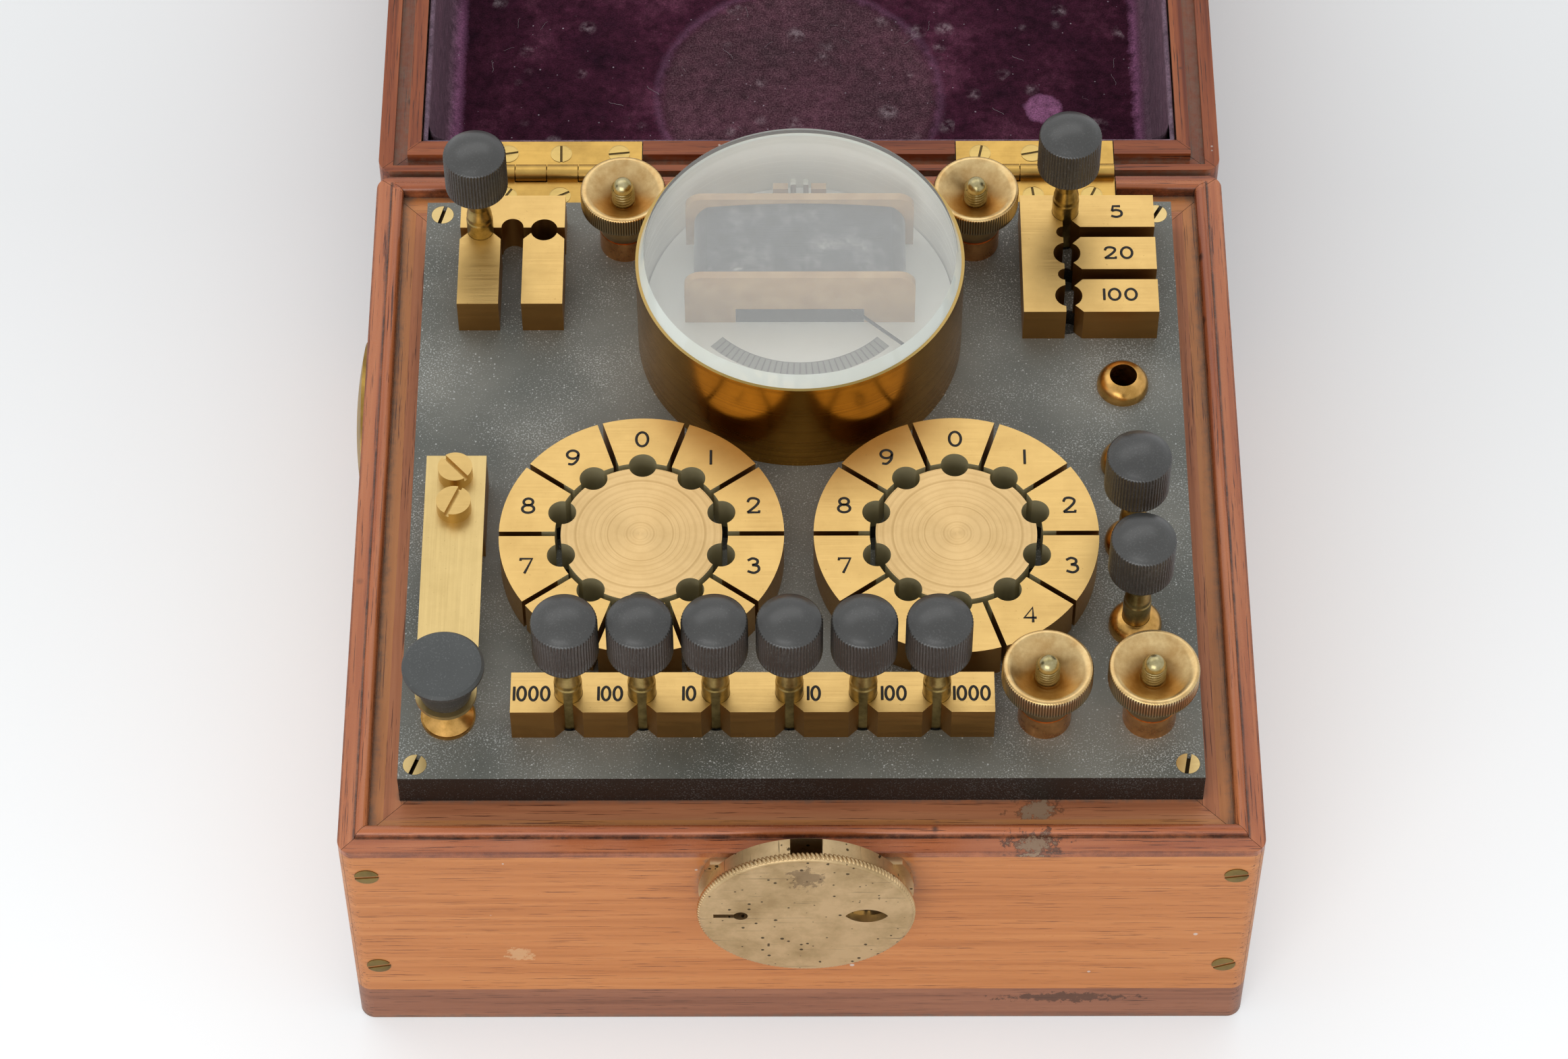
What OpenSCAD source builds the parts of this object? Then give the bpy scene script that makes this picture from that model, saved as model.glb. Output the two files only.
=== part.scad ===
// Portable telegraph line test set: a resistance bridge with a galvanometer,
// built on an ebonite panel in a hinged wooden case.
// Millimetres. The origin is the middle of the case's underside, +X to the right,
// +Y to the back where the lid is hinged, +Z up. The lid is shown folded fully open.

/* [Case] */
// Width of the case from side to side
case_w = 203.2; // [198:0.2:210]
// Depth of the case from front to back
case_d = 190; // [186:0.5:200]
// Height of the case up to the top of its walls
wall_h = 71; // [56:0.5:90]
// Thickness of the case walls
wall_t = 9.6; // [8:0.1:10]
// Thickness of the bottom board
bottom_t = 13; // [8:0.5:18]
// Radius of the upright corners of case and lid
corner_r = 3.5; // [1:0.25:6]
// Glue line left between boards that meet
glue_gap = 0.1; // [0.06:0.02:0.3]

/* [Rim and bead] */
// Thickness of the strip that caps the walls
rim_t = 1.8; // [1.6:0.1:2.4]
// Flat of the strip outside the bead, left and right
flat_side = 3.7; // [3:0.1:5]
// Flat of the strip outside the bead at the front
flat_front = 4; // [3:0.1:5]
// Flat of the strip outside the bead at the back
flat_back = 2; // [1.6:0.1:2.2]
// Width of the raised bead
bead_w = 2.9; // [2:0.1:3.2]
// Height of the bead above the strip
bead_h = 1.6; // [1.5:0.1:2]

/* [Lid] */
// Gap between the open lid and the back of the case
back_gap = 1.9; // [1.6:0.1:2.4]
// Gap between the closed lid and the rim
lid_gap = 0.3; // [0.2:0.05:0.6]
// Height of the lid walls under the top board
lid_wall_h = 51; // [50.5:0.5:60]
// Thickness of the lid walls left, right and front
lid_wall_t = 10; // [9.2:0.1:12]
// Thickness of the lid wall that carries the hinges
lid_back_t = 9.3; // [8:0.1:12]
// Thickness of the top board
lid_top_t = 7; // [4:0.5:10]
// Depth of the groove that takes the bead
groove_depth = 2.6; // [2.2:0.1:4]
// Clearance of the groove on each side of the bead
groove_clear = 0.2; // [0.1:0.02:0.3]

/* [Lining] */
// Thickness of the velvet lining on floor and walls
lining_t = 1.2; // [0.8:0.1:1.6]
// Radius of the cove between lining floor and walls
lining_cove = 5.7; // [3:0.1:8]
// How far the lining stays back from the lid's rim
lining_back = 0.9; // [0.4:0.1:6]
// Gap between the lining and the wood behind it
lining_gap = 0.3; // [0.2:0.05:0.6]

/* [Hinges] */
// Distance of each hinge from the middle of the case
hinge_x = 57; // [50:0.5:68]
// Length of a hinge
leaf_len = 38; // [30:1:46]
// Reach of a leaf from the hinge axis
leaf_reach = 10.2; // [8:0.1:10.2]
// Thickness of a leaf
leaf_t = 1.65; // [1.2:0.05:1.7]
// Diameter of the hinge barrel
barrel_d = 4.4; // [3.6:0.1:4.6]
// Diameter of the hinge pin
hinge_pin_d = 2; // [1.4:0.1:2.4]
// Radial clearance of the pin in the moving knuckles
hinge_clear = 0.06; // [0.03:0.01:0.1]
// Gap between knuckles and around the barrel
knuckle_gap = 0.25; // [0.15:0.05:0.3]

/* [Panel] */
// Gap between the ebonite panel and the side walls
panel_gap_side = 3.5; // [1:0.1:4.4]
// Gap between the panel and the front wall
panel_gap_front = 5.1; // [4:0.1:6]
// Gap between the panel and the back wall
panel_gap_back = 4.1; // [3:0.1:5]
// Thickness of the ebonite panel
panel_t = 9; // [8:0.5:11]
// Width of the ledge strips under the panel
ledge_w = 12; // [11:0.5:16]
// Height of the ledge strips under the panel
ledge_h = 14; // [12:0.5:24]
// Distance of the panel screws from the panel's edges
screw_inset = 3.7; // [3.4:0.1:5]
// Diameter of a panel screw's head
panel_screw_d = 5.2; // [4:0.1:6]

/* [Galvanometer] */
// Distance of the galvanometer behind the middle of the case
galvo_y = 41.6; // [41:0.1:42.5]
// Outer diameter of the brass drum
drum_d = 75.3; // [74:0.1:77]
// Wall of the brass drum
drum_wall = 1.65; // [1.2:0.05:2.2]
// Height of the brass drum
drum_h = 28.6; // [27.5:0.2:32]
// Height of the glass above the drum
glass_h = 3.6; // [2:0.1:5]
// Width of the drum's rim left bare outside the glass
glass_inset = 0.7; // [0.6:0.05:1.3]
// How much the bevel narrows the glass on each side
glass_bevel = 1.25; // [0.5:0.05:2]
// Depth to which the glass enters the drum
glass_spigot = 1; // [0.6:0.1:2]
// Height of the white dial base
dial_h = 8.5; // [6:0.1:9]
// Clearance of the parts inside the drum
drum_clear = 0.3; // [0.1:0.05:0.5]
// Width of a coil cheek
cheek_w = 53; // [50:0.5:55]
// Height of a coil cheek
cheek_h = 16.6; // [15.5:0.1:17.5]
// Thickness of a coil cheek
cheek_t = 1.9; // [1.2:0.1:2.4]
// Distance between the two cheeks
cheek_gap = 21; // [18:0.2:23]
// How far the coil sits behind the drum's middle
coil_back = 8.1; // [7.2:0.1:8.6]
// Width of the winding
coil_w = 49; // [46:0.5:49.5]
// Radius of the winding's upper corners
coil_corner = 7.4; // [4:0.2:7.4]
// Radius of the winding's crown
coil_crown_r = 170; // [120:5:260]
// Height of the winding
coil_h = 15.2; // [14:0.1:15.4]
// Width of the needle's slot in the front cheek
slot_w = 29.7; // [28:0.1:32]
// Height of the needle's slot
slot_h = 5; // [4:0.1:5.6]
// Length of the pointer from the pivot
pointer_len = 32; // [26:0.5:32.5]
// Width of the pointer
pointer_w = 0.7; // [0.5:0.05:0.9]
// Length of the pointer behind the pivot
pointer_tail = 6; // [4:0.5:8]
// Length of the needle's magnet
magnet_len = 12; // [8:0.5:14]
// Angle at which the pointer rests, to the right of straight ahead
pointer_rest = 48.5; // [40:0.5:48.5]
// Diameter of the needle's staff
staff_d = 1; // [0.8:0.05:1.4]

/* [Dials] */
// Distance between the two dials
dial_pitch = 70.6; // [68:0.1:72.5]
// How far the middle of the two dials lies left of the case's middle
dial_left = 0.4; // [0:0.1:1]
// How far the dials lie in front of the case's middle
dial_front = 21.9; // [21.4:0.1:22.3]
// Outer diameter of a dial
dial_d = 64; // [62:0.2:66]
// Diameter of a dial's middle disc
hub_d = 36.2; // [35:0.1:36.6]
// Width of the ring gap round the middle disc
ring_gap = 1.35; // [1:0.05:1.5]
// Width of the slits between the segments
slit_w = 1.25; // [0.8:0.05:1.6]
// Height of the dial brasses
dial_brass_h = 10; // [8:0.1:12]
// Number of segments on a dial
segments = 10; // [6:1:10]

/* [Plugs] */
// Diameter of a plug's pin
plug_d = 6.2; // [5.6:0.1:6.4]
// Radial clearance of a pin in its hole
plug_clear = 0.06; // [0.03:0.01:0.1]
// Length of a pin below the head
plug_len = 27.5; // [24:0.5:29]
// Length of the full diameter of a pin
shank_len = 15.6; // [15:0.1:18]
// Diameter of a pin's neck under the head
neck_d = 4.8; // [4:0.1:5.2]
// Diameter of a plug's head
head_d = 14.5; // [12:0.1:15]
// Height of the fluted side of a head
head_h = 11.8; // [10:0.1:12.4]
// Height of the dome on a head
dome_h = 2.8; // [1.5:0.1:3]
// Depth of a seated pin's tip below the panel's top
tip_depth = 1; // [0.5:0.1:3]

/* [Blocks] */
// Height of the ratio, shunt and link brasses
block_h = 10.2; // [8:0.1:12]
// Slit between neighbouring brasses
block_gap = 1.4; // [1:0.05:1.8]
// Depth of the ratio row from front to back
ratio_d = 10.45; // [9:0.05:11]
// Distance between the ratio holes
ratio_pitch = 16.13; // [15.2:0.01:16.4]
// Number of ratio holes
ratio_holes = 6; // [3:1:6]
// Corner cut where two ratio brasses meet
corner_cut = 2.5; // [1.5:0.1:2.8]
// Length of the two end brasses
end_len = 12; // [10:0.1:12.4]

/* [Shunt and link] */
// Width of the shunt bar
shunt_bar_w = 9.84; // [8:0.02:10.2]
// Length of a shunt block
shunt_block_len = 20.13; // [16:0.1:20.6]
// Width of a shunt block
shunt_block_w = 9.5; // [9:0.1:10.4]
// Distance between the shunt blocks
shunt_pitch = 12.55; // [12:0.05:12.6]
// Width of a link block and of the link bar
link_w = 9.6; // [9:0.05:10.2]
// Distance between the two link blocks
link_pitch = 14.9; // [14:0.1:16]
// Length of a link block
link_len = 21.15; // [16:0.1:24]

/* [Terminals] */
// Diameter of a terminal's stud
stud_d = 4.74; // [3.6:0.02:5]
// Diameter of a terminal's collar
collar_d = 11.8; // [9:0.1:13]
// Height of a terminal's collar
collar_h = 6.3; // [4:0.1:6.4]
// Height of the boss under a nut's flange
nut_boss_h = 8; // [6:0.1:9]
// Diameter of a nut's knurled flange
nut_d = 20; // [16:0.1:20.6]
// Height of a nut's knurled flange
nut_h = 5.6; // [4.5:0.1:6]
// Depth of the dish in a nut
dish_depth = 4.2; // [2:0.1:4.4]
// Radial clearance of a nut on its stud
nut_clear = 0.05; // [0.03:0.01:0.1]

/* [Sockets] */
// Distance between the sockets
socket_pitch = 22.27; // [21.5:0.01:22.5]
// Diameter of a socket's bun
bun_d = 11.9; // [10.5:0.1:13]
// Height of a socket's bun
bun_h = 4.2; // [3:0.1:5]
// Depth of a socket's tube below the panel's top
socket_depth = 13; // [10:0.5:16]

/* [Key] */
// Width of the key's strap
strap_w = 13.55; // [10:0.05:14]
// Thickness of the key's strap
strap_t = 1; // [0.8:0.05:1.2]
// Length of the strap in front of its block
strap_reach = 49.9; // [46:0.1:51]
// Depth of the key's block from front to back
key_block_d = 20.3; // [18.5:0.1:22]
// Height of the key's block
key_block_h = 9.3; // [8.5:0.1:11]
// Distance of the rear key screw from the back of the block
key_screw_back = 5.2; // [4.5:0.1:6]
// Distance between the two key screws
key_screw_pitch = 9.3; // [8.5:0.1:10]
// Gap between the key's contact and its anvil
contact_gap = 0.9; // [0.9:0.05:1.5]
// Height of the key's anvil
anvil_h = 3; // [2:0.1:4]
// Diameter of the key's button
button_d = 18; // [14:0.1:20]
// Height of the button above the strap
button_h = 11; // [8:0.1:13]

/* [Lock] */
// Diameter of the lock's plates
lock_d = 47.5; // [44:0.5:49]
// Height of the lock's middle
lock_z = 59.8; // [58.5:0.1:61]
// Thickness of the lock's back plate
lock_back_t = 1.7; // [1.2:0.1:2]
// Diameter of the lock's drum
lock_drum_d = 44; // [41:0.5:45]
// Depth of the lock's drum
lock_drum_t = 4.8; // [4.6:0.1:6]
// Thickness of the lock's cover
lock_cover_t = 1.75; // [1.2:0.05:2.2]
// Width of the notch that takes the lid's catch
notch_w = 7; // [6.4:0.1:8]
// Travel of the bolt
bolt_travel = 6; // [4:0.1:6]
// Width of the catch's plate on the lid
catch_w = 16; // [10:0.5:24]
// Height of the catch's plate on the lid
catch_h = 21.5; // [14:0.5:30]

/* [Side plate] */
// Diameter of the round plate on the left side
side_plate_d = 43; // [36:0.5:46]
// Thickness of the round plate on the left side
side_plate_t = 3.6; // [2:0.1:5]
// Distance of the plate behind the middle of the case
side_plate_y = 37; // [20:0.5:60]
// Height of the plate's middle
side_plate_z = 48; // [34:0.5:49]

/* [Hidden] */
$fn = 64;
// Small overlap that makes joined solids and cuts clean
eps = 0.01;

// Levels
rim_z = wall_h + rim_t;
top_z = wall_h + panel_t;
lid_z = rim_z + lid_gap;
lid_top_z = lid_z + lid_wall_h;

// Inside of the case walls and of the lid walls
inner_x = case_w / 2 - wall_t;
inner_y = case_d / 2 - wall_t;
lid_inner_x = case_w / 2 - lid_wall_t;
lid_inner_front = -case_d / 2 + lid_wall_t;
lid_inner_back = case_d / 2 - lid_back_t;

// Outer outline of the bead
bead_x = case_w / 2 - flat_side;
bead_front = -case_d / 2 + flat_front;
bead_back = case_d / 2 - flat_back;

// Hinge axis
hinge_y = case_d / 2 + back_gap / 2;
hinge_z = rim_z + lid_gap / 2;
barrel_room = barrel_d / 2 + knuckle_gap;
knuckles = 5;

// Panel, set into the case
panel_x = inner_x - panel_gap_side;
panel_front_y = -inner_y + panel_gap_front;
panel_back_y = inner_y - panel_gap_back;
screw_x = panel_x - screw_inset;
screw_front = panel_front_y + screw_inset;
screw_back = panel_back_y - screw_inset;
screw_below = 9;
screw_len = panel_t + screw_below;
screw_slot_w = 0.9;
screw_slot_depth = 1;
screw_shank_r = 1.4;
screw_head_h = 1.8;
screw_clear = 0.06;

// Plug holes
hole_r = plug_d / 2 + plug_clear;
panel_hole_r = hole_r + 0.35;
panel_hole_depth = 5;

// Galvanometer
drum_in_r = drum_d / 2 - drum_wall;
glass_r = drum_d / 2 - glass_inset;
cheek_front = galvo_y + coil_back - cheek_gap / 2;
pivot_y = galvo_y + coil_back;
card_z = top_z + dial_h;
staff_clear = 0.06;
staff_sink = 1;
needle_z = card_z + 2.4;

// Dials
hole_ring_r = hub_d / 2 + ring_gap / 2 + 0.03;
dial_centres = [-dial_left - dial_pitch / 2, -dial_left + dial_pitch / 2];

// Ratio row
ratio_edge = 15.9;
ratio_y = panel_front_y + ratio_edge;
ratio_mid = -10.66;
ratio_x0 = ratio_mid - ratio_pitch * (ratio_holes - 1) / 2;

// Shunt: the hole line lies between the bar and the blocks
shunt_side_edge = 26.05;
shunt_back_edge = 23.575;
shunt_x = panel_x - shunt_side_edge;
shunt_y = panel_back_y - shunt_back_edge;
shunt_bar_len = 2 * shunt_pitch + shunt_block_w;
shunt_notch_r = 1.6;
shunt_cut = 2.64;

// Link: the hole line lies between the blocks and the bar behind them
link_side_edge = 21.15;
link_back_edge = 16.4;
link_x = link_side_edge - panel_x;
link_y = panel_back_y - link_back_edge;
link_notch_r = 2.6;
link_cut = 2;

// Terminals: back left, back right, front left, front right
terminal_x = 41.2;
terminal_inset = 11.7;
terminal_pitch = 23.15;
terminal_back_edge = 12.1;
terminal_front_edge = 16;
terminal_back_y = panel_back_y - terminal_back_edge;
terminal_front_y = panel_front_y + terminal_front_edge;
terminals = [
  [-terminal_x, terminal_back_y], [terminal_x, terminal_back_y],
  [panel_x - terminal_inset - terminal_pitch, terminal_front_y],
  [panel_x - terminal_inset, terminal_front_y]
];
nut_rest = 0.1;
stud_top = collar_h + nut_rest + nut_boss_h + nut_h + 3.1;
stud_below = 5;
under_nut_h = 3;
under_nut_d = 9;
under_nut_room = 0.5;

// Sockets, the first at the back
socket_edge = 13.8;
socket_x = panel_x - socket_edge;
socket_y0 = 26.6;
sockets = 4;
tube_wall = 1.1;

// Key
key_edge = 10.6;
key_reach = 79.5;
key_x = key_edge - panel_x;
key_block_back = panel_front_y + key_reach;
key_block_front = key_block_back - key_block_d;
strap_z = top_z + key_block_h;
strap_end_y = key_block_front - strap_reach + strap_w / 2;
key_screws_y = [
  key_block_back - key_screw_back, key_block_back - key_screw_back - key_screw_pitch
];
key_screw_r = 1.8;
key_screw_head_r = 3.9;
key_screw_head_h = 3.5;
key_screw_room = 0.4;
spigot_r = 1.5;
spigot_h = 3.5;
fit = 0.05;

// Lock
lock_x = 1;
lock_front_y = -case_d / 2;
lock_drum_y = lock_front_y - lock_back_t;
lock_cover_y = lock_drum_y - lock_drum_t;
lock_flat_z = wall_h - 0.2;
notch_floor_z = lock_z - 3.6;
bolt_z = lock_z;
bolt_y = lock_drum_y - lock_drum_t / 2 + 0.1;
bolt_h = 5;
bolt_t = 2.4;
bolt_tongue_r = 1.2;
bolt_room = 0.2;
keyhole_x = -15.6;
window_x = 14.3;
// The bolt's shoulder stops just short of the notch when it is shut
bolt_x0 = lock_x + notch_w / 2 + 0.3 + bolt_travel;
bolt_x1 = window_x + 2.4;

// Plugs: x, y and the height of the underside of the head over the panel
head_over = plug_len - tip_depth;
socket_sink = 4.3;
plugs = concat(
  [for (i = [0 : 5]) [ratio_mid + ratio_pitch * (i - 2.5), ratio_y, head_over]],
  [[link_x - link_pitch / 2, link_y, head_over]],
  [[shunt_x, shunt_y + shunt_pitch, head_over]],
  [for (i = [2, 3]) [socket_x, socket_y0 - i * socket_pitch, head_over - socket_sink]]
);

// Helpers

// Outline of a board with rounded corners
module rounded_rect(w, d, r) {
  square([w - 2 * r, d], center = true);
  square([w, d - 2 * r], center = true);
  for (x = [-1, 1])
    for (y = [-1, 1])
      translate([x * (w / 2 - r), y * (d / 2 - r)]) circle(r);
}

// Solid with the outline of the case
module case_block(z0, z1) {
  translate([0, 0, z0]) linear_extrude(z1 - z0) rounded_rect(case_w, case_d, corner_r);
}

// Rectangular block between two corners
module span(x0, x1, y0, y1, z0, z1) {
  translate([x0, y0, z0]) cube([x1 - x0, y1 - y0, z1 - z0]);
}

// Thin cuts along the four mitres of a frame as wide and deep as the case
module mitre_cuts(in_x, in_front, in_back, z0, z1) {
  for (side = [-1, 1])
    for (in_y = [in_front, in_back]) {
      outer = [side * case_w / 2, sign(in_y) * case_d / 2];
      inner = [side * in_x, in_y];
      run = norm(outer - inner);
      translate([outer.x, outer.y, z0])
        rotate(atan2(inner.y - outer.y, inner.x - outer.x))
          translate([-1, -glue_gap / 2, 0])
            cube([run + 2, glue_gap, z1 - z0]);
    }
}

// Straight moulding along X, mitred at both ends, its profile growing toward +Y
module moulding(length, depth, low, high) {
  intersection() {
    translate([-length / 2, 0, 0]) rotate([90, 0, 90]) linear_extrude(length) children();
    translate([0, 0, low]) linear_extrude(high - low)
      polygon([
        [-length / 2, 0], [length / 2, 0],
        [length / 2 - depth, depth], [-length / 2 + depth, depth]
      ]);
  }
}

// Turns lid parts from the closed place, in which they are drawn, to the open place
module opened() {
  translate([0, hinge_y, hinge_z]) rotate([180, 0, 0]) translate([0, -hinge_y, -hinge_z])
    children();
}

// Cylinder along X
module bar_x(r, x0, x1, y, z) {
  translate([x0, y, z]) rotate([0, 90, 0]) cylinder(r = r, h = x1 - x0);
}

// Disc or bore toward the front, seen from the front in the lock's plane
module disc_y(r, x, z, y0, y1) {
  translate([x, y0, z]) rotate([90, 0, 0]) cylinder(r = r, h = y0 - y1);
}

// Case

// Room for the hinge barrels, at rim height
module barrel_rooms() {
  for (x = [-hinge_x, hinge_x])
    bar_x(
      barrel_room + 0.05, x - leaf_len / 2 - knuckle_gap, x + leaf_len / 2 + knuckle_gap,
      hinge_y, hinge_z
    );
}

module case_walls() {
  color("sienna") difference() {
    case_block(bottom_t, wall_h);
    span(-inner_x, inner_x, -inner_y, inner_y, bottom_t - 1, wall_h + 1);
    mitre_cuts(inner_x, -inner_y, inner_y, bottom_t - 1, wall_h + 1);
    barrel_rooms();
  }
}

module case_bottom() {
  color("saddlebrown") case_block(0, bottom_t);
}

module bead_profile() {
  r = bead_w / 2;
  translate([0, rim_z - rim_t]) square([bead_w, rim_t + bead_h - r]);
  translate([r, rim_z + bead_h - r]) circle(r);
}

module bead() {
  w = 2 * bead_x;
  d = bead_back - bead_front;
  mid = (bead_back + bead_front) / 2;
  top = rim_z + bead_h + 1;
  for (s = [-1, 1]) {
    translate([0, mid + s * d / 2, 0]) rotate(s > 0 ? 180 : 0)
      moulding(w, bead_w, wall_h, top) bead_profile();
    translate([s * w / 2, mid, 0]) rotate(s * 90)
      moulding(d, bead_w, wall_h, top) bead_profile();
  }
}

// Strip and bead in four lengths, broken at the hinges
module case_rim() {
  in_x = bead_x - bead_w;
  in_front = bead_front + bead_w;
  in_back = bead_back - bead_w;
  color("firebrick") difference() {
    union() {
      difference() {
        case_block(wall_h, rim_z);
        span(-in_x, in_x, in_front, in_back, wall_h - 1, rim_z + 1);
      }
      bead();
    }
    mitre_cuts(in_x, in_front, in_back, wall_h - 1, rim_z + bead_h + 1);
    for (x = [-hinge_x, hinge_x])
      span(
        x - leaf_len / 2 - knuckle_gap, x + leaf_len / 2 + knuckle_gap,
        in_back - 1, case_d / 2 + 1, wall_h - 1, rim_z + bead_h + 1
      );
  }
}

// Four strips inside the walls that carry the panel
module panel_ledge() {
  color("indianred") difference() {
    span(-inner_x, inner_x, -inner_y, inner_y, wall_h - ledge_h, wall_h);
    span(
      -inner_x + ledge_w, inner_x - ledge_w, -inner_y + ledge_w, inner_y - ledge_w,
      wall_h - ledge_h - 1, wall_h + 1
    );
    for (x = [-1, 1])
      for (y = [-1, 1])
        translate([x * inner_x, y * inner_y, wall_h - ledge_h - 1])
          rotate(atan2(-y, -x)) translate([-1, -glue_gap / 2, 0])
            cube([ledge_w * 2, glue_gap, ledge_h + 2]);
    at_panel_screws() cylinder(r = screw_shank_r + screw_clear, h = screw_len + 0.5);
    // Room for the nuts under the panel
    at_terminals() translate([0, 0, -panel_t - ledge_h / 2])
      cylinder(r = under_nut_d / 2 + under_nut_room, h = ledge_h);
  }
}

// Places its children at the foot of each panel screw
module at_panel_screws() {
  for (x = [-screw_x, screw_x])
    for (y = [screw_front, screw_back])
      translate([x, y, top_z - screw_len]) children();
}

// Countersunk screw, its foot at the origin, with a clearance for the hole
module panel_screw(clear) {
  r = panel_screw_d / 2;
  cylinder(r = screw_shank_r + clear, h = screw_len);
  translate([0, 0, screw_len - screw_head_h])
    cylinder(r1 = screw_shank_r + clear, r2 = r + clear, h = screw_head_h);
}

module panel() {
  color("dimgray") difference() {
    span(-panel_x, panel_x, panel_front_y, panel_back_y, wall_h, top_z);
    at_panel_screws() {
      panel_screw(screw_clear);
      translate([0, 0, screw_len - eps]) cylinder(r = panel_screw_d / 2 + screw_clear, h = 1);
    }
    for (p = plug_holes())
      translate([p.x, p.y, top_z - panel_hole_depth])
        cylinder(r = panel_hole_r, h = panel_hole_depth + 1);
    at_sockets() translate([0, 0, -panel_t - 1])
      cylinder(r = hole_r + tube_wall + fit, h = panel_t + 2);
    at_terminals() translate([0, 0, -panel_t - 1])
      cylinder(r = stud_d / 2 + fit, h = panel_t + 2);
  }
}

module panel_screws() {
  slots = [70, 80, 75, 60];
  color("goldenrod") for (i = [0 : 3]) {
    x = (i % 2 == 0 ? -1 : 1) * screw_x;
    y = i < 2 ? screw_front : screw_back;
    translate([x, y, top_z - screw_len]) difference() {
      panel_screw(0);
      translate([0, 0, screw_len]) rotate(slots[i])
        cube([panel_screw_d + screw_slot_w, screw_slot_w, 2 * screw_slot_depth], center = true);
    }
  }
}

// Hinges

// One knuckle of the barrel, counted from the left
module knuckle(i, r, gap) {
  w = leaf_len / knuckles;
  bar_x(r, i * w - leaf_len / 2 + gap, (i + 1) * w - leaf_len / 2 - gap, hinge_y, hinge_z);
}

// Leaf on the case wall with its own knuckles, even or odd
module leaf(own, other) {
  difference() {
    union() {
      span(
        -leaf_len / 2, leaf_len / 2, hinge_y - leaf_reach, hinge_y, wall_h, wall_h + leaf_t
      );
      for (i = own)
        knuckle(i, barrel_d / 2, knuckle_gap / 2);
    }
    for (i = other)
      knuckle(i, barrel_room, -knuckle_gap / 2);
    bar_x(
      hinge_pin_d / 2 + hinge_clear, -leaf_len / 2 - 1, leaf_len / 2 + 1, hinge_y, hinge_z
    );
  }
}

module hinge_base_leaves() {
  color("gold") for (x = [-hinge_x, hinge_x])
    translate([x, 0, 0]) {
      leaf([0, 2, 4], [1, 3]);
      bar_x(hinge_pin_d / 2, -leaf_len / 2 + 0.2, leaf_len / 2 - 0.2, hinge_y, hinge_z);
      for (i = [0, 2, 4])
        knuckle(i, hinge_pin_d / 2 + 2 * hinge_clear, 1.5);
    }
}

// The lid leaf is the case leaf turned over, with the odd knuckles
module hinge_lid_leaves() {
  color("gold") for (x = [-hinge_x, hinge_x])
    translate([x, 0, 0]) opened() mirror([0, 0, 1]) translate([0, 0, -2 * hinge_z])
      leaf([1, 3], [0, 2, 4]);
}

// Lock

// Places its children in the lock's plane, drawn as seen from the front
module in_lock_plane(y0, y1) {
  translate([lock_x, y0, lock_z]) rotate([90, 0, 0]) linear_extrude(y0 - y1) children();
}

// Slit with a wider right end
module keyhole() {
  x = keyhole_x - lock_x;
  translate([x - 3.8, -0.7]) square([6.4, 1.4]);
  translate([x + 2.2, 0]) circle(1.6);
}

// Pointed oval
module eye_window() {
  half_w = 4.7;
  half_h = 2.7;
  r = (half_w * half_w + half_h * half_h) / (2 * half_h);
  translate([window_x - lock_x, 0]) intersection() {
    translate([0, r - half_h]) circle(r);
    translate([0, half_h - r]) circle(r);
  }
}

module lock_case() {
  r = lock_d / 2;
  color("darkkhaki") difference() {
    union() {
      intersection() {
        disc_y(r, lock_x, lock_z, lock_front_y, lock_drum_y);
        span(-r, r + 2 * lock_x, lock_drum_y, lock_front_y, lock_z - r, lock_flat_z);
      }
      disc_y(lock_drum_d / 2, lock_x, lock_z, lock_drum_y + eps, lock_cover_y);
    }
    // Notch for the catch, open to the top
    span(
      lock_x - notch_w / 2, lock_x + notch_w / 2, lock_cover_y - 1, lock_drum_y,
      notch_floor_z, lock_z + lock_d
    );
    // Runway of the bolt, from the notch past the window
    span(
      lock_x, window_x + 5.2, lock_cover_y - 1, bolt_y + bolt_t / 2 + bolt_room,
      bolt_z - bolt_h / 2 - bolt_room, bolt_z + bolt_h / 2 + bolt_room
    );
    // Room behind the keyhole
    span(
      keyhole_x - 4.6, keyhole_x + 4.6, lock_cover_y - 1, lock_drum_y - 0.8,
      lock_z - 4, lock_z + 4
    );
  }
}

module lock_cover() {
  r = lock_d / 2;
  bead_r = 0.85;
  color("darkkhaki") {
    difference() {
      disc_y(r - bead_r, lock_x, lock_z, lock_cover_y, lock_cover_y - lock_cover_t);
      in_lock_plane(lock_cover_y + 1, lock_cover_y - lock_cover_t - 1) {
        keyhole();
        eye_window();
      }
    }
    translate([lock_x, lock_cover_y - lock_cover_t / 2, lock_z]) rotate([90, 0, 0])
      rotate_extrude() translate([r - bead_r, 0]) {
        circle(bead_r, $fn = 24);
        translate([-bead_r, -lock_cover_t / 2]) square([bead_r, lock_cover_t]);
      }
  }
}

// Bolt drawn back to the right, its tongue at the edge of the notch
module lock_bolt() {
  color("khaki") {
    span(
      bolt_x0, bolt_x1, bolt_y - bolt_t / 2, bolt_y + bolt_t / 2,
      bolt_z - bolt_h / 2, bolt_z + bolt_h / 2
    );
    bar_x(bolt_tongue_r, lock_x + notch_w / 2 + 0.4, bolt_x0 + eps, bolt_y, bolt_z);
  }
}

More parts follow.
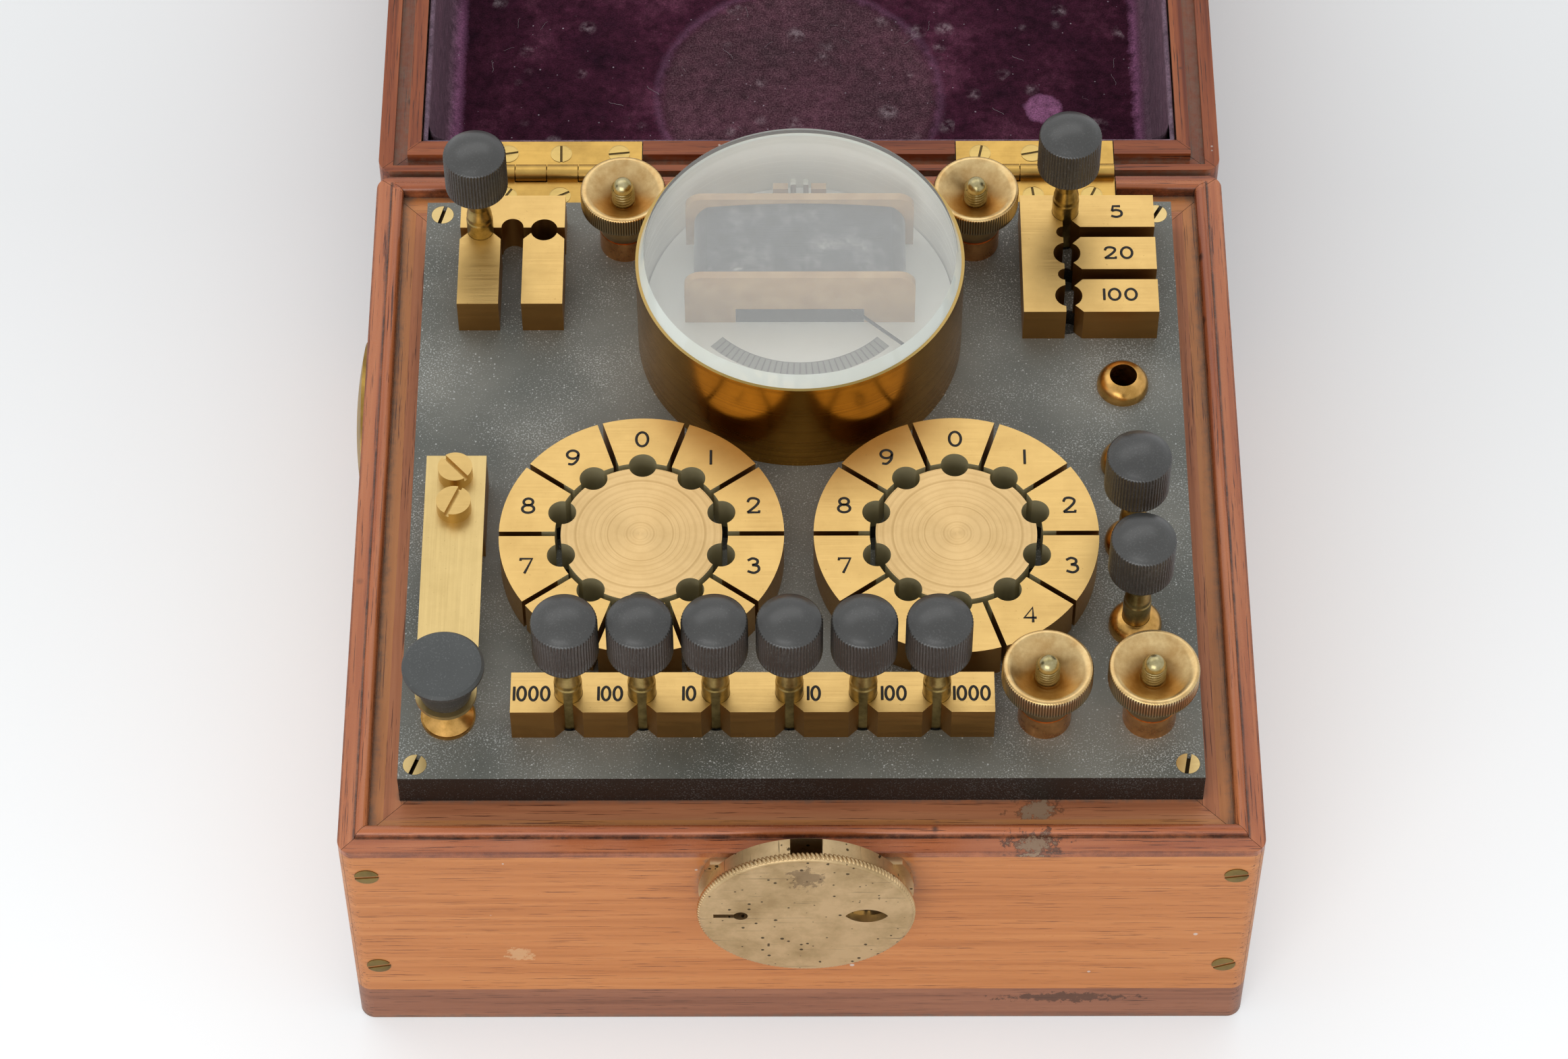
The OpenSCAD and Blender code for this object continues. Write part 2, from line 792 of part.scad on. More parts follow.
// Catch on the lid, drawn closed: a plate on the front board and an eye in the notch
module lid_catch() {
  half = notch_w / 2 - 0.3;
  plate_t = 1.3;
  eye_back = lock_drum_y - 0.3;
  eye_front = lock_cover_y + 0.8;
  low = notch_floor_z + 0.8;
  arm_z = lock_z + lock_drum_d / 2 + 1;
  arm_back = lock_front_y - plate_t / 2;
  color("darkkhaki") opened() difference() {
    union() {
      span(
        lock_x - catch_w / 2, lock_x + catch_w / 2, lock_front_y - plate_t, lock_front_y,
        lid_z + 0.5, lid_z + 0.5 + catch_h
      );
      translate([lock_x - half, 0, 0]) rotate([90, 0, 90]) linear_extrude(2 * half)
        polygon([
          [arm_back, arm_z + 3], [eye_front, arm_z + 3], [eye_front, low],
          [eye_back, low], [eye_back, arm_z], [arm_back, arm_z]
        ]);
    }
    bar_x(bolt_tongue_r + 0.3, lock_x - half - 1, lock_x + half + 1, bolt_y, bolt_z);
  }
}

module side_plate() {
  r = side_plate_d / 2;
  dome = side_plate_t - 1.2;
  sphere_r = (r * r + dome * dome) / (2 * dome);
  color("goldenrod") translate([-case_w / 2, side_plate_y, side_plate_z]) rotate([0, -90, 0])
    rotate_extrude()
      intersection() {
        union() {
          square([r, 1.2]);
          translate([0, side_plate_t - sphere_r]) circle(sphere_r, $fn = 256);
        }
        square([r, side_plate_t]);
      }
}

// Galvanometer

module galvo_drum() {
  color("darkgoldenrod") translate([0, galvo_y, top_z]) difference() {
    cylinder(d = drum_d, h = drum_h, $fn = 128);
    translate([0, 0, -1]) cylinder(r = drum_in_r, h = drum_h + 2, $fn = 128);
  }
}

module galvo_glass() {
  color("lightblue") translate([0, galvo_y, top_z + drum_h]) {
    cylinder(r1 = glass_r, r2 = glass_r - glass_bevel, h = glass_h, $fn = 128);
    translate([0, 0, -glass_spigot])
      cylinder(r = drum_in_r - drum_clear, h = glass_spigot + eps, $fn = 128);
  }
}

// Base disc that carries the white card, with a bearing for the staff
module galvo_dial() {
  color("whitesmoke") difference() {
    translate([0, galvo_y, top_z]) cylinder(r = drum_in_r - drum_clear, h = dial_h, $fn = 128);
    translate([0, pivot_y, card_z - staff_sink])
      cylinder(d = staff_d + 2 * staff_clear, h = staff_sink + 1);
  }
}

// Cheek of the coil, standing on the card, with an optional slot for the pointer
module cheek(slot) {
  r = 4;
  rotate([90, 0, 0]) linear_extrude(cheek_t) difference() {
    union() {
      translate([-cheek_w / 2, 0]) square([cheek_w, cheek_h - r]);
      translate([-cheek_w / 2 + r, 0]) square([cheek_w - 2 * r, cheek_h]);
      for (s = [-1, 1])
        translate([s * (cheek_w / 2 - r), cheek_h - r]) circle(r);
    }
    if (slot)
      translate([-slot_w / 2, -1]) square([slot_w, slot_h + 1]);
  }
}

// Two cheeks and the terminal bracket behind them
module galvo_frame() {
  post_y = cheek_front + cheek_gap + cheek_t + 2.4;
  color("burlywood") {
    translate([0, cheek_front, card_z]) cheek(true);
    translate([0, cheek_front + cheek_gap + cheek_t, card_z]) cheek(false);
    for (s = [-1, 1]) {
      translate([s * 4.6, post_y, card_z]) translate([-1.6, -1, 0]) cube([3.2, 2, 5]);
      translate([s * 1.6, post_y, card_z]) cylinder(r = 1, h = 5.6);
    }
  }
}

// Wound coil between the cheeks, with the tunnel in which the needle swings
module galvo_winding() {
  r = min(coil_corner, coil_h / 2 - 0.1);
  tunnel_w = slot_w + 2.4;
  color("slategray") translate([0, cheek_front + cheek_gap, card_z]) rotate([90, 0, 0])
    linear_extrude(cheek_gap) difference() {
      intersection() {
        union() {
          translate([-coil_w / 2, 0]) square([coil_w, coil_h - r]);
          translate([-coil_w / 2 + r, 0]) square([coil_w - 2 * r, coil_h]);
          for (s = [-1, 1])
            translate([s * (coil_w / 2 - r), coil_h - r]) circle(r);
        }
        translate([0, coil_h - coil_crown_r]) circle(coil_crown_r, $fn = 512);
      }
      translate([-tunnel_w / 2, -1]) square([tunnel_w, slot_h + 1]);
    }
}

// Pointer, magnet and staff, resting against the right end of the slot
module galvo_needle() {
  color("dimgray") translate([0, pivot_y, needle_z]) rotate(pointer_rest) {
    translate([0, 0, staff_sink / 2 - 2.4 - staff_sink + 0.2])
      cylinder(d = staff_d, h = 2.4 + staff_sink);
    cylinder(r = 1.6, h = 0.8);
    translate([-pointer_w / 2, -pointer_len, 0.2])
      cube([pointer_w, pointer_len + pointer_tail, 0.4]);
    translate([-magnet_len / 2, -1.1, -1.2]) cube([magnet_len, 2.2, 1.2 + eps]);
  }
}

// Dials

module dial_hubs() {
  color("peru") for (x = dial_centres)
    translate([x, -dial_front, top_z]) difference() {
      cylinder(d = hub_d, h = dial_brass_h, $fn = 128);
      at_dial_holes() translate([0, 0, -1]) cylinder(r = hole_r, h = dial_brass_h + 2);
    }
}

module at_dial_holes() {
  for (i = [0 : segments - 1])
    rotate(90 - i * 360 / segments) translate([hole_ring_r, 0, 0]) children();
}

// Segments with slits half way between the holes
module dial_segments() {
  color("goldenrod") for (x = dial_centres)
    translate([x, -dial_front, top_z]) difference() {
      cylinder(d = dial_d, h = dial_brass_h, $fn = 128);
      translate([0, 0, -1]) {
        cylinder(r = hub_d / 2 + ring_gap, h = dial_brass_h + 2, $fn = 128);
        at_dial_holes() cylinder(r = hole_r, h = dial_brass_h + 2);
        for (i = [0 : segments - 1])
          rotate(90 - (i + 0.5) * 360 / segments)
            translate([0, -slit_w / 2, 0]) cube([dial_d, slit_w, dial_brass_h + 2]);
      }
    }
}

// Ratio row

// Plug hole between two brasses, with the corners cut away on both faces
module ratio_joint() {
  translate([0, 0, -1]) {
    cylinder(r = hole_r, h = block_h + 2);
    translate([-block_gap / 2, -ratio_d, 0]) cube([block_gap, 2 * ratio_d, block_h + 2]);
    for (s = [-1, 1])
      translate([0, s * ratio_d / 2, 0]) linear_extrude(block_h + 2)
        polygon([
          [-block_gap / 2 - corner_cut, s], [-block_gap / 2 - corner_cut, 0],
          [-block_gap / 2, -s * corner_cut], [block_gap / 2, -s * corner_cut],
          [block_gap / 2 + corner_cut, 0], [block_gap / 2 + corner_cut, s]
        ]);
  }
}

module ratio_blocks() {
  len = ratio_pitch * (ratio_holes - 1) + 2 * end_len + block_gap;
  color("goldenrod") translate([0, ratio_y, top_z]) difference() {
    translate([ratio_x0 - end_len - block_gap / 2, -ratio_d / 2, 0])
      cube([len, ratio_d, block_h]);
    for (i = [0 : ratio_holes - 1])
      translate([ratio_x0 + i * ratio_pitch, 0, 0]) ratio_joint();
  }
}

// Shunt

module shunt_blocks() {
  gap = block_gap;
  half = shunt_block_w / 2;
  color("goldenrod") translate([shunt_x, shunt_y, top_z]) difference() {
    union() {
      translate([-gap / 2 - shunt_bar_w, -shunt_bar_len / 2, 0])
        cube([shunt_bar_w, shunt_bar_len, block_h]);
      for (i = [-1 : 1])
        translate([gap / 2, i * shunt_pitch, 0]) linear_extrude(block_h)
          polygon([
            [0, -half + shunt_cut], [shunt_cut, -half], [shunt_block_len, -half],
            [shunt_block_len, half], [shunt_cut, half], [0, half - shunt_cut]
          ]);
    }
    for (i = [-1 : 1])
      translate([0, i * shunt_pitch, -1]) cylinder(r = hole_r, h = block_h + 2);
    for (i = [-0.5, 0.5])
      translate([-gap / 2, i * shunt_pitch, -1]) cylinder(r = shunt_notch_r, h = block_h + 2);
  }
}

// Link

module link_blocks() {
  gap = block_gap;
  half = link_w / 2;
  color("goldenrod") translate([link_x, link_y, top_z]) difference() {
    union() {
      translate([-link_pitch / 2 - half, gap / 2, 0])
        cube([link_pitch + link_w, link_w, block_h]);
      for (s = [-1, 1])
        translate([s * link_pitch / 2, -gap / 2, 0]) linear_extrude(block_h)
          polygon([
            [-half, -link_len], [half, -link_len], [half, -link_cut],
            [half - link_cut, 0], [-half + link_cut, 0], [-half, -link_cut]
          ]);
    }
    for (s = [-1, 1])
      translate([s * link_pitch / 2, 0, -1]) cylinder(r = hole_r, h = block_h + 2);
    translate([0, gap / 2, -1]) cylinder(r = link_notch_r, h = block_h + 2);
  }
}

// Terminals

module at_terminals() {
  for (p = terminals)
    translate([p.x, p.y, top_z]) children();
}

// Collar and stud in one, with a hexagon nut on the stud under the panel
module terminal_posts() {
  r = stud_d / 2;
  color("peru") at_terminals() {
    cylinder(d = collar_d, h = collar_h);
    translate([0, 0, -panel_t - under_nut_h - stud_below + 3])
      cylinder(r = r, h = panel_t + under_nut_h + stud_below - 3 + stud_top - r);
    translate([0, 0, stud_top - r]) intersection() {
      sphere(r);
      cylinder(r = r + 1, h = r + 1);
    }
    translate([0, 0, -panel_t - under_nut_h]) difference() {
      cylinder(d = under_nut_d, h = under_nut_h, $fn = 6);
      translate([0, 0, -1]) cylinder(r = r + fit, h = under_nut_h + 2);
    }
  }
}

// Thumb nut: boss, knurled flange and a dish round the stud
module terminal_nut(i) {
  bore = stud_d / 2 + nut_clear;
  boss_r = collar_d / 2;
  nut_r = nut_d / 2;
  top = nut_boss_h + nut_h;
  rim = 0.8;
  color("peru") translate([terminals[i].x, terminals[i].y, top_z + collar_h + nut_rest])
    rotate_extrude($fn = 96) polygon([
      [bore, 0], [boss_r - 0.4, 0], [boss_r, 0.4], [boss_r, nut_boss_h],
      [nut_r - 0.6, nut_boss_h], [nut_r, nut_boss_h + 0.6], [nut_r, top - 0.5],
      [nut_r - 0.4, top], [nut_r - 0.4 - rim, top],
      [bore + 0.3, top - dish_depth], [bore, top - dish_depth]
    ]);
}

// Sockets

module at_sockets() {
  for (i = [0 : sockets - 1])
    translate([socket_x, socket_y0 - i * socket_pitch, top_z]) children();
}

// Bun on the panel and a tube through it
module socket_ferrules() {
  r = bun_d / 2;
  tube_r = hole_r + tube_wall;
  curve = bun_h - 0.8;
  color("goldenrod") at_sockets() difference() {
    union() {
      rotate_extrude() {
        square([r, 0.8]);
        translate([0, 0.8]) intersection() {
          square([r, curve]);
          union() {
            translate([r - curve, 0]) circle(curve);
            square([r - curve, curve]);
          }
        }
      }
      translate([0, 0, -socket_depth]) cylinder(r = tube_r, h = socket_depth + eps);
    }
    translate([0, 0, -socket_depth - 1]) cylinder(r = hole_r, h = socket_depth + bun_h + 2);
  }
}

// Plugs

// Every plug hole between brasses, as [x, y]
function plug_holes() = concat(
  [for (i = [0 : ratio_holes - 1]) [ratio_x0 + i * ratio_pitch, ratio_y]],
  [for (i = [-1 : 1]) [shunt_x, shunt_y + i * shunt_pitch]],
  [for (s = [-1, 1]) [link_x + s * link_pitch / 2, link_y]],
  [for (x = dial_centres)
    for (i = [0 : segments - 1])
      let (a = 90 - i * 360 / segments)
        [x + hole_ring_r * cos(a), -dial_front + hole_ring_r * sin(a)]]
);

// Turned pin with a bevelled tip, a narrow neck and a spigot that enters the head
module plug_pin(i) {
  r = plug_d / 2;
  n = neck_d / 2;
  color("darkgoldenrod") translate([plugs[i].x, plugs[i].y, top_z + plugs[i].z - plug_len])
    rotate_extrude() polygon([
      [0, 0], [r - 0.8, 0], [r, 1.2], [r, shank_len], [r - 0.15, shank_len + 0.5],
      [r - 0.15, shank_len + 1.6], [n, shank_len + 4.6], [n, plug_len],
      [spigot_r, plug_len], [spigot_r, plug_len + 2 * spigot_h], [0, plug_len + 2 * spigot_h]
    ]);
}

// Head with a domed top and a blind hole for the pin's spigot
module plug_head(i) {
  r = head_d / 2;
  edge = 0.5;
  dome_r = ((r - edge) * (r - edge) + dome_h * dome_h) / (2 * dome_h);
  color("black") translate([plugs[i].x, plugs[i].y, top_z + plugs[i].z]) difference() {
    rotate_extrude() {
      polygon([[0, 0], [r - edge, 0], [r, edge], [r, head_h - edge], [r - edge, head_h], [0, head_h]]);
      translate([0, head_h]) intersection() {
        square([r - edge, dome_h]);
        translate([0, dome_h - dome_r]) circle(dome_r, $fn = 128);
      }
    }
    translate([0, 0, -1]) cylinder(r = spigot_r + fit, h = 2 * spigot_h + 1.3);
  }
}

// Key

module key_block() {
  color("goldenrod") difference() {
    span(
      key_x - strap_w / 2, key_x + strap_w / 2, key_block_front, key_block_back,
      top_z, strap_z
    );
    for (y = key_screws_y)
      translate([key_x, y, top_z + 1]) cylinder(r = key_screw_r + key_screw_room, h = key_block_h);
  }
}

module key_strap() {
  color("khaki") translate([0, 0, strap_z]) difference() {
    linear_extrude(strap_t) {
      translate([key_x - strap_w / 2, strap_end_y])
        square([strap_w, key_block_back + 0.3 - strap_end_y]);
      translate([key_x, strap_end_y]) circle(strap_w / 2);
    }
    for (y = key_screws_y)
      translate([key_x, y, -1]) cylinder(r = key_screw_r + fit, h = strap_t + 2);
    translate([key_x, strap_end_y, -1]) cylinder(r = spigot_r + fit, h = strap_t + 2);
  }
}

// Cheese-head screws that clamp the strap
module key_screws() {
  slots = [-48, 68];
  len = key_block_h - 2;
  color("gold") for (i = [0 : 1])
    translate([key_x, key_screws_y[i], strap_z + strap_t]) difference() {
      union() {
        cylinder(r = key_screw_head_r, h = key_screw_head_h);
        translate([0, 0, -strap_t - len]) cylinder(r = key_screw_r, h = strap_t + len + eps);
      }
      translate([0, 0, key_screw_head_h]) rotate(slots[i])
        cube([3 * key_screw_head_r, 1, 2.4], center = true);
    }
}

// Silver contact under the strap, its spigot passing up into the button
module key_contact() {
  low = top_z + anvil_h + contact_gap;
  color("silver") translate([key_x, strap_end_y, 0]) {
    translate([0, 0, low]) cylinder(r = 2.5, h = strap_z - low);
    translate([0, 0, strap_z - eps]) cylinder(r = spigot_r, h = strap_t + spigot_h);
  }
}

// Mushroom button on a tapered stem
module key_button() {
  r = button_d / 2;
  disc_h = 2.3;
  stem = button_h - disc_h;
  color("black") translate([key_x, strap_end_y, strap_z + strap_t]) difference() {
    rotate_extrude($fn = 96) polygon([
      [0, 0], [r - 3.4, 0], [r - 1.5, stem], [r - 0.3, stem + 0.3], [r, stem + 0.9],
      [r, button_h - 0.8], [r - 0.6, button_h - 0.15], [r - 1.6, button_h], [0, button_h]
    ]);
    translate([0, 0, -1]) cylinder(r = spigot_r + fit, h = spigot_h + 1.3);
  }
}

// Flared foot with the lower contact on it
module key_anvil() {
  color("peru") translate([key_x, strap_end_y, top_z]) {
    cylinder(r = 6.05, h = 0.8);
    translate([0, 0, 0.8 - eps]) cylinder(r1 = 5.7, r2 = 2.6, h = anvil_h - 0.8 + eps);
  }
}

// Resistance coils on reels under the panel, in a ring below each dial
module coil_bobbins() {
  reel_r = 5.6;
  reel_h = 34;
  ring_r = 25;
  color("olivedrab") for (x = dial_centres)
    translate([x, -dial_front, wall_h - reel_h])
      for (i = [0 : segments - 1])
        rotate(90 - i * 360 / segments) translate([ring_r, 0, 0]) rotate_extrude($fn = 32)
          polygon([
            [0, 0], [reel_r, 0], [reel_r, 1.6], [reel_r - 0.9, 1.6],
            [reel_r - 0.9, reel_h - 1.6], [reel_r, reel_h - 1.6], [reel_r, reel_h], [0, reel_h]
          ]);
}

// Lid, drawn closed and turned open

module lid_walls() {
  low = lid_z - 1;
  color("sienna") opened() difference() {
    case_block(lid_z, lid_top_z);
    span(-lid_inner_x, lid_inner_x, lid_inner_front, lid_inner_back, low, lid_top_z + 1);
    // Groove round the bead
    difference() {
      span(
        -bead_x - groove_clear, bead_x + groove_clear, bead_front - groove_clear,
        bead_back + groove_clear, low, lid_z + groove_depth
      );
      span(
        -bead_x + bead_w + groove_clear, bead_x - bead_w - groove_clear,
        bead_front + bead_w + groove_clear, bead_back - bead_w - groove_clear,
        low - 1, lid_z + groove_depth + 1
      );
    }
    // Seats of the hinge leaves
    for (x = [-hinge_x, hinge_x])
      span(
        x - leaf_len / 2 - knuckle_gap, x + leaf_len / 2 + knuckle_gap,
        hinge_y - leaf_reach - 0.1, case_d / 2 + 1, low, 2 * hinge_z - wall_h
      );
    barrel_rooms();
    mitre_cuts(lid_inner_x, lid_inner_front, lid_inner_back, low, lid_top_z + 1);
  }
}

module lid_top() {
  color("saddlebrown") opened() case_block(lid_top_z, lid_top_z + lid_top_t);
}

// Velvet tray with a coved floor
module lid_lining() {
  x = lid_inner_x - lining_gap;
  y0 = lid_inner_front + lining_gap;
  y1 = lid_inner_back - lining_gap;
  z0 = lid_z + lining_back;
  z1 = lid_top_z - lining_gap;
  t = lining_t;
  c = lining_cove;
  color("indigo") opened() difference() {
    span(-x, x, y0, y1, z0, z1);
    hull() {
      for (sx = [-1, 1])
        for (cy = [y0 + t + c, y1 - t - c])
          translate([sx * (x - t - c), cy, z1 - t - c]) sphere(c, $fn = 24);
      translate([0, (y0 + y1) / 2, z0 - 1])
        cube([2 * (x - t), y1 - y0 - 2 * t, 2], center = true);
    }
  }
}

case_walls();
case_bottom();
case_rim();
panel_ledge();
panel();
panel_screws();
hinge_base_leaves();
lock_case();
lock_cover();
lock_bolt();
side_plate();
galvo_drum();
galvo_glass();
galvo_dial();
galvo_frame();
galvo_winding();
galvo_needle();
dial_hubs();
dial_segments();
ratio_blocks();
shunt_blocks();
link_blocks();
terminal_posts();
terminal_nut(0);  // terminal_nut_1
terminal_nut(1);  // terminal_nut_2
terminal_nut(2);  // terminal_nut_3
terminal_nut(3);  // terminal_nut_4
socket_ferrules();
key_block();
key_screws();
key_anvil();
key_strap();
key_button();
key_contact();
coil_bobbins();
lid_walls();
lid_top();
lid_lining();
lid_catch();
hinge_lid_leaves();
for (i = [0 : 9]) {
  plug_pin(i);
  plug_head(i);
}
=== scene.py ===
import bpy
import bmesh
import math
import random
from mathutils import Matrix, Vector


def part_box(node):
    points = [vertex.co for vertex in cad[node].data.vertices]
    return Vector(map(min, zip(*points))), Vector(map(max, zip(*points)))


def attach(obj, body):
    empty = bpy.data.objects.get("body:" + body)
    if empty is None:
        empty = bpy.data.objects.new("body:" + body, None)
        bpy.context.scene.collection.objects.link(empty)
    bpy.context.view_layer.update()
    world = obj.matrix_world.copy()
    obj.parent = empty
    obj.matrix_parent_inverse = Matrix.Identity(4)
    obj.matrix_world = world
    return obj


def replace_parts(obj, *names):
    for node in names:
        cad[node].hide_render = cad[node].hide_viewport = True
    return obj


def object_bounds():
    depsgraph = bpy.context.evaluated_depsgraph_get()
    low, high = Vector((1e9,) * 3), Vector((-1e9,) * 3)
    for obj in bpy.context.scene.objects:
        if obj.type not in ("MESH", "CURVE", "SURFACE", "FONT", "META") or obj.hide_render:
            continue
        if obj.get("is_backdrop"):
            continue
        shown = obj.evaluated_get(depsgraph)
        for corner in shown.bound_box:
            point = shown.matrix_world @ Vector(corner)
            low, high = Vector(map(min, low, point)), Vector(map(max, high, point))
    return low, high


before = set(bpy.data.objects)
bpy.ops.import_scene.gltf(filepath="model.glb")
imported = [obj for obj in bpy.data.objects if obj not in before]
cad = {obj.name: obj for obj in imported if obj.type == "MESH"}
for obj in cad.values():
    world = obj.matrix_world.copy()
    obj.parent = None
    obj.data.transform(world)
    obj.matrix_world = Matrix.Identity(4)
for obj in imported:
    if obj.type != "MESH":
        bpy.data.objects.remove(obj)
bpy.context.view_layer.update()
mm = 0.001
print("frame loaded:", len(cad), "nodes")


def linear(hexColour, alpha=1.0):
    channels = [int(hexColour[i:i + 2], 16) / 255 for i in (1, 3, 5)]
    return tuple(c / 12.92 if c <= 0.04045 else ((c + 0.055) / 1.055) ** 2.4 for c in channels) + (alpha,)


def feed(node, inputs):
    # fixed values, or links from a socket or from the first output of a node
    for key, value in inputs.items():
        if isinstance(value, bpy.types.Node):
            value = value.outputs[0]
        if isinstance(value, bpy.types.NodeSocket):
            node.id_data.links.new(value, node.inputs[key])
        else:
            node.inputs[key].default_value = value


def add(tree, kind, inputs=None, stops=None, **settings):
    # one node with its settings, its inputs and, on a ramp, its stops
    node = tree.nodes.new(kind if kind.startswith(("Geometry", "Function", "NodeGroup")) else "ShaderNode" + kind)
    for name, value in settings.items():
        setattr(node, name, value)
    feed(node, inputs or {})
    for place, (position, colour) in enumerate(stops or []):
        if place > 1:
            node.color_ramp.elements.new(position)
        element = node.color_ramp.elements[place]
        element.position = position
        element.color = linear(colour)
    return node


def newMaterial(name, **values):
    material = bpy.data.materials.new(name)
    material.use_nodes = True
    shader = material.node_tree.nodes["Principled BSDF"]
    for key, value in values.items():
        shader.inputs[key.replace("_", " ")].default_value = value
    return material, *inside(material)


def inside(material):
    # what a finish is built from: the tree, the shader, and each point's place on the object
    tree = material.node_tree
    return tree, tree.nodes["Principled BSDF"], add(tree, "TexCoord").outputs["Object"]


def tint(shader, share, colour, way="MIX"):
    # lays a colour over what the shader shows so far, as far as share says
    base = shader.inputs["Base Color"]
    below = base.links[0].from_socket if base.links else tuple(base.default_value)
    over = linear(colour) if isinstance(colour, str) else colour
    mixed = add(shader.id_data, "Mix", {0: share, 6: below, 7: over}, data_type="RGBA", blend_type=way)
    feed(shader, {"Base Color": mixed.outputs[2]})


def surface(shader, patches, roughness, relief=None, depth=0.0, strength=0.5, span=(0.0, 1.0), sunk=False):
    # roughness drifts between two values with the patches; relief, depth in mm, stands up or is sunk
    tree = shader.id_data
    drift = {"From Min": span[0], "From Max": span[1], "To Min": roughness[0], "To Max": roughness[1]}
    feed(shader, {"Roughness": add(tree, "MapRange", {"Value": patches, **drift})})
    if relief:
        bump = add(tree, "Bump", {"Height": relief, "Distance": depth * mm, "Strength": strength}, invert=sunk)
        feed(shader, {"Normal": bump})


def dress(material, *nodeNames):
    for nodeName in nodeNames:
        mesh = cad[nodeName].data
        mesh.materials.clear()
        mesh.materials.append(material)


def newObject(name, data):
    thing = bpy.data.objects.new(name, data)
    bpy.context.scene.collection.objects.link(thing)
    return thing


def newPiece(name, mesh, material, body):
    piece = newObject(name, mesh)
    mesh.materials.clear()
    mesh.materials.append(material)
    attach(piece, body)
    return piece


def finishedMesh(maker, name):
    # the mesh that an object's curve or modifiers come to
    bpy.context.view_layer.update()
    mesh = bpy.data.meshes.new_from_object(maker.evaluated_get(bpy.context.evaluated_depsgraph_get()))
    mesh.name = name
    return mesh


def middle(nodeName):
    low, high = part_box(nodeName)
    return (low + high) / 2


def facingUp(tree):
    # one on a level top, nought on an upright wall, below nought underneath
    return add(tree, "SeparateXYZ", {0: add(tree, "TexCoord").outputs["Normal"]}).outputs[2]


def speckMask(tree, coords, scale, share, size, soft=0.05, strength=1.0):
    # round specks of many sizes; share of the cells hold one, and size is the largest one in cells
    cells = add(tree, "TexVoronoi", {"Vector": coords, "Scale": scale, "Randomness": 1.0})
    chance = add(tree, "SeparateColor", {0: cells.outputs["Color"]})
    limit = add(tree, "MapRange", {"Value": chance, "From Min": 1.0 - share, "To Min": -0.01, "To Max": size})
    near = add(tree, "Math", {0: limit, 1: cells.outputs["Distance"]}, operation="SUBTRACT")
    return add(tree, "MapRange", {"Value": near, "From Max": soft, "To Max": strength})


def between(tree, value, low, high, soft):
    # one inside the band from low to high, nought outside, with soft edges
    away = add(tree, "Math", {0: value, 1: (low + high) / 2}, operation="SUBTRACT")
    size = add(tree, "Math", {0: away}, operation="ABSOLUTE")
    half = (high - low) / 2
    edge = {"Value": size, "From Min": half - soft, "From Max": half + soft, "To Min": 1.0, "To Max": 0.0}
    return add(tree, "MapRange", edge)


# Places taken from the frame

halfWidth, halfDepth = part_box("case_walls")[1].xy
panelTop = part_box("panel")[1].z
lidMiddleY = middle("lid_walls").y
glassMiddle = middle("galvo_glass")
hubLow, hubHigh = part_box("dial_hubs")
hubRadius = (hubHigh.y - hubLow.y) / 2
dialY = (hubLow.y + hubHigh.y) / 2
dialX = [hubLow.x + hubRadius, hubHigh.x - hubRadius]


# Wood

def boardGrain(tree, coords, centreY):
    # each board of a mitred frame has its grain along its own length
    axes = add(tree, "SeparateXYZ", {0: coords})
    inward = []
    for axis, centre, half in ((0, 0.0, halfWidth), (1, centreY, halfDepth)):
        moved = add(tree, "Math", {0: axes.outputs[axis], 1: centre}, operation="SUBTRACT")
        size = add(tree, "Math", {0: moved}, operation="ABSOLUTE")
        inward.append(add(tree, "Math", {0: half, 1: size}, operation="SUBTRACT"))
    onSide = add(tree, "Math", {0: inward[0], 1: inward[1]}, operation="LESS_THAN")
    turned = add(tree, "CombineXYZ", {0: axes.outputs[1], 1: axes, 2: axes.outputs[2]})
    return add(tree, "Mix", {0: onSide, 4: coords, 5: turned}, data_type="VECTOR").outputs[1]


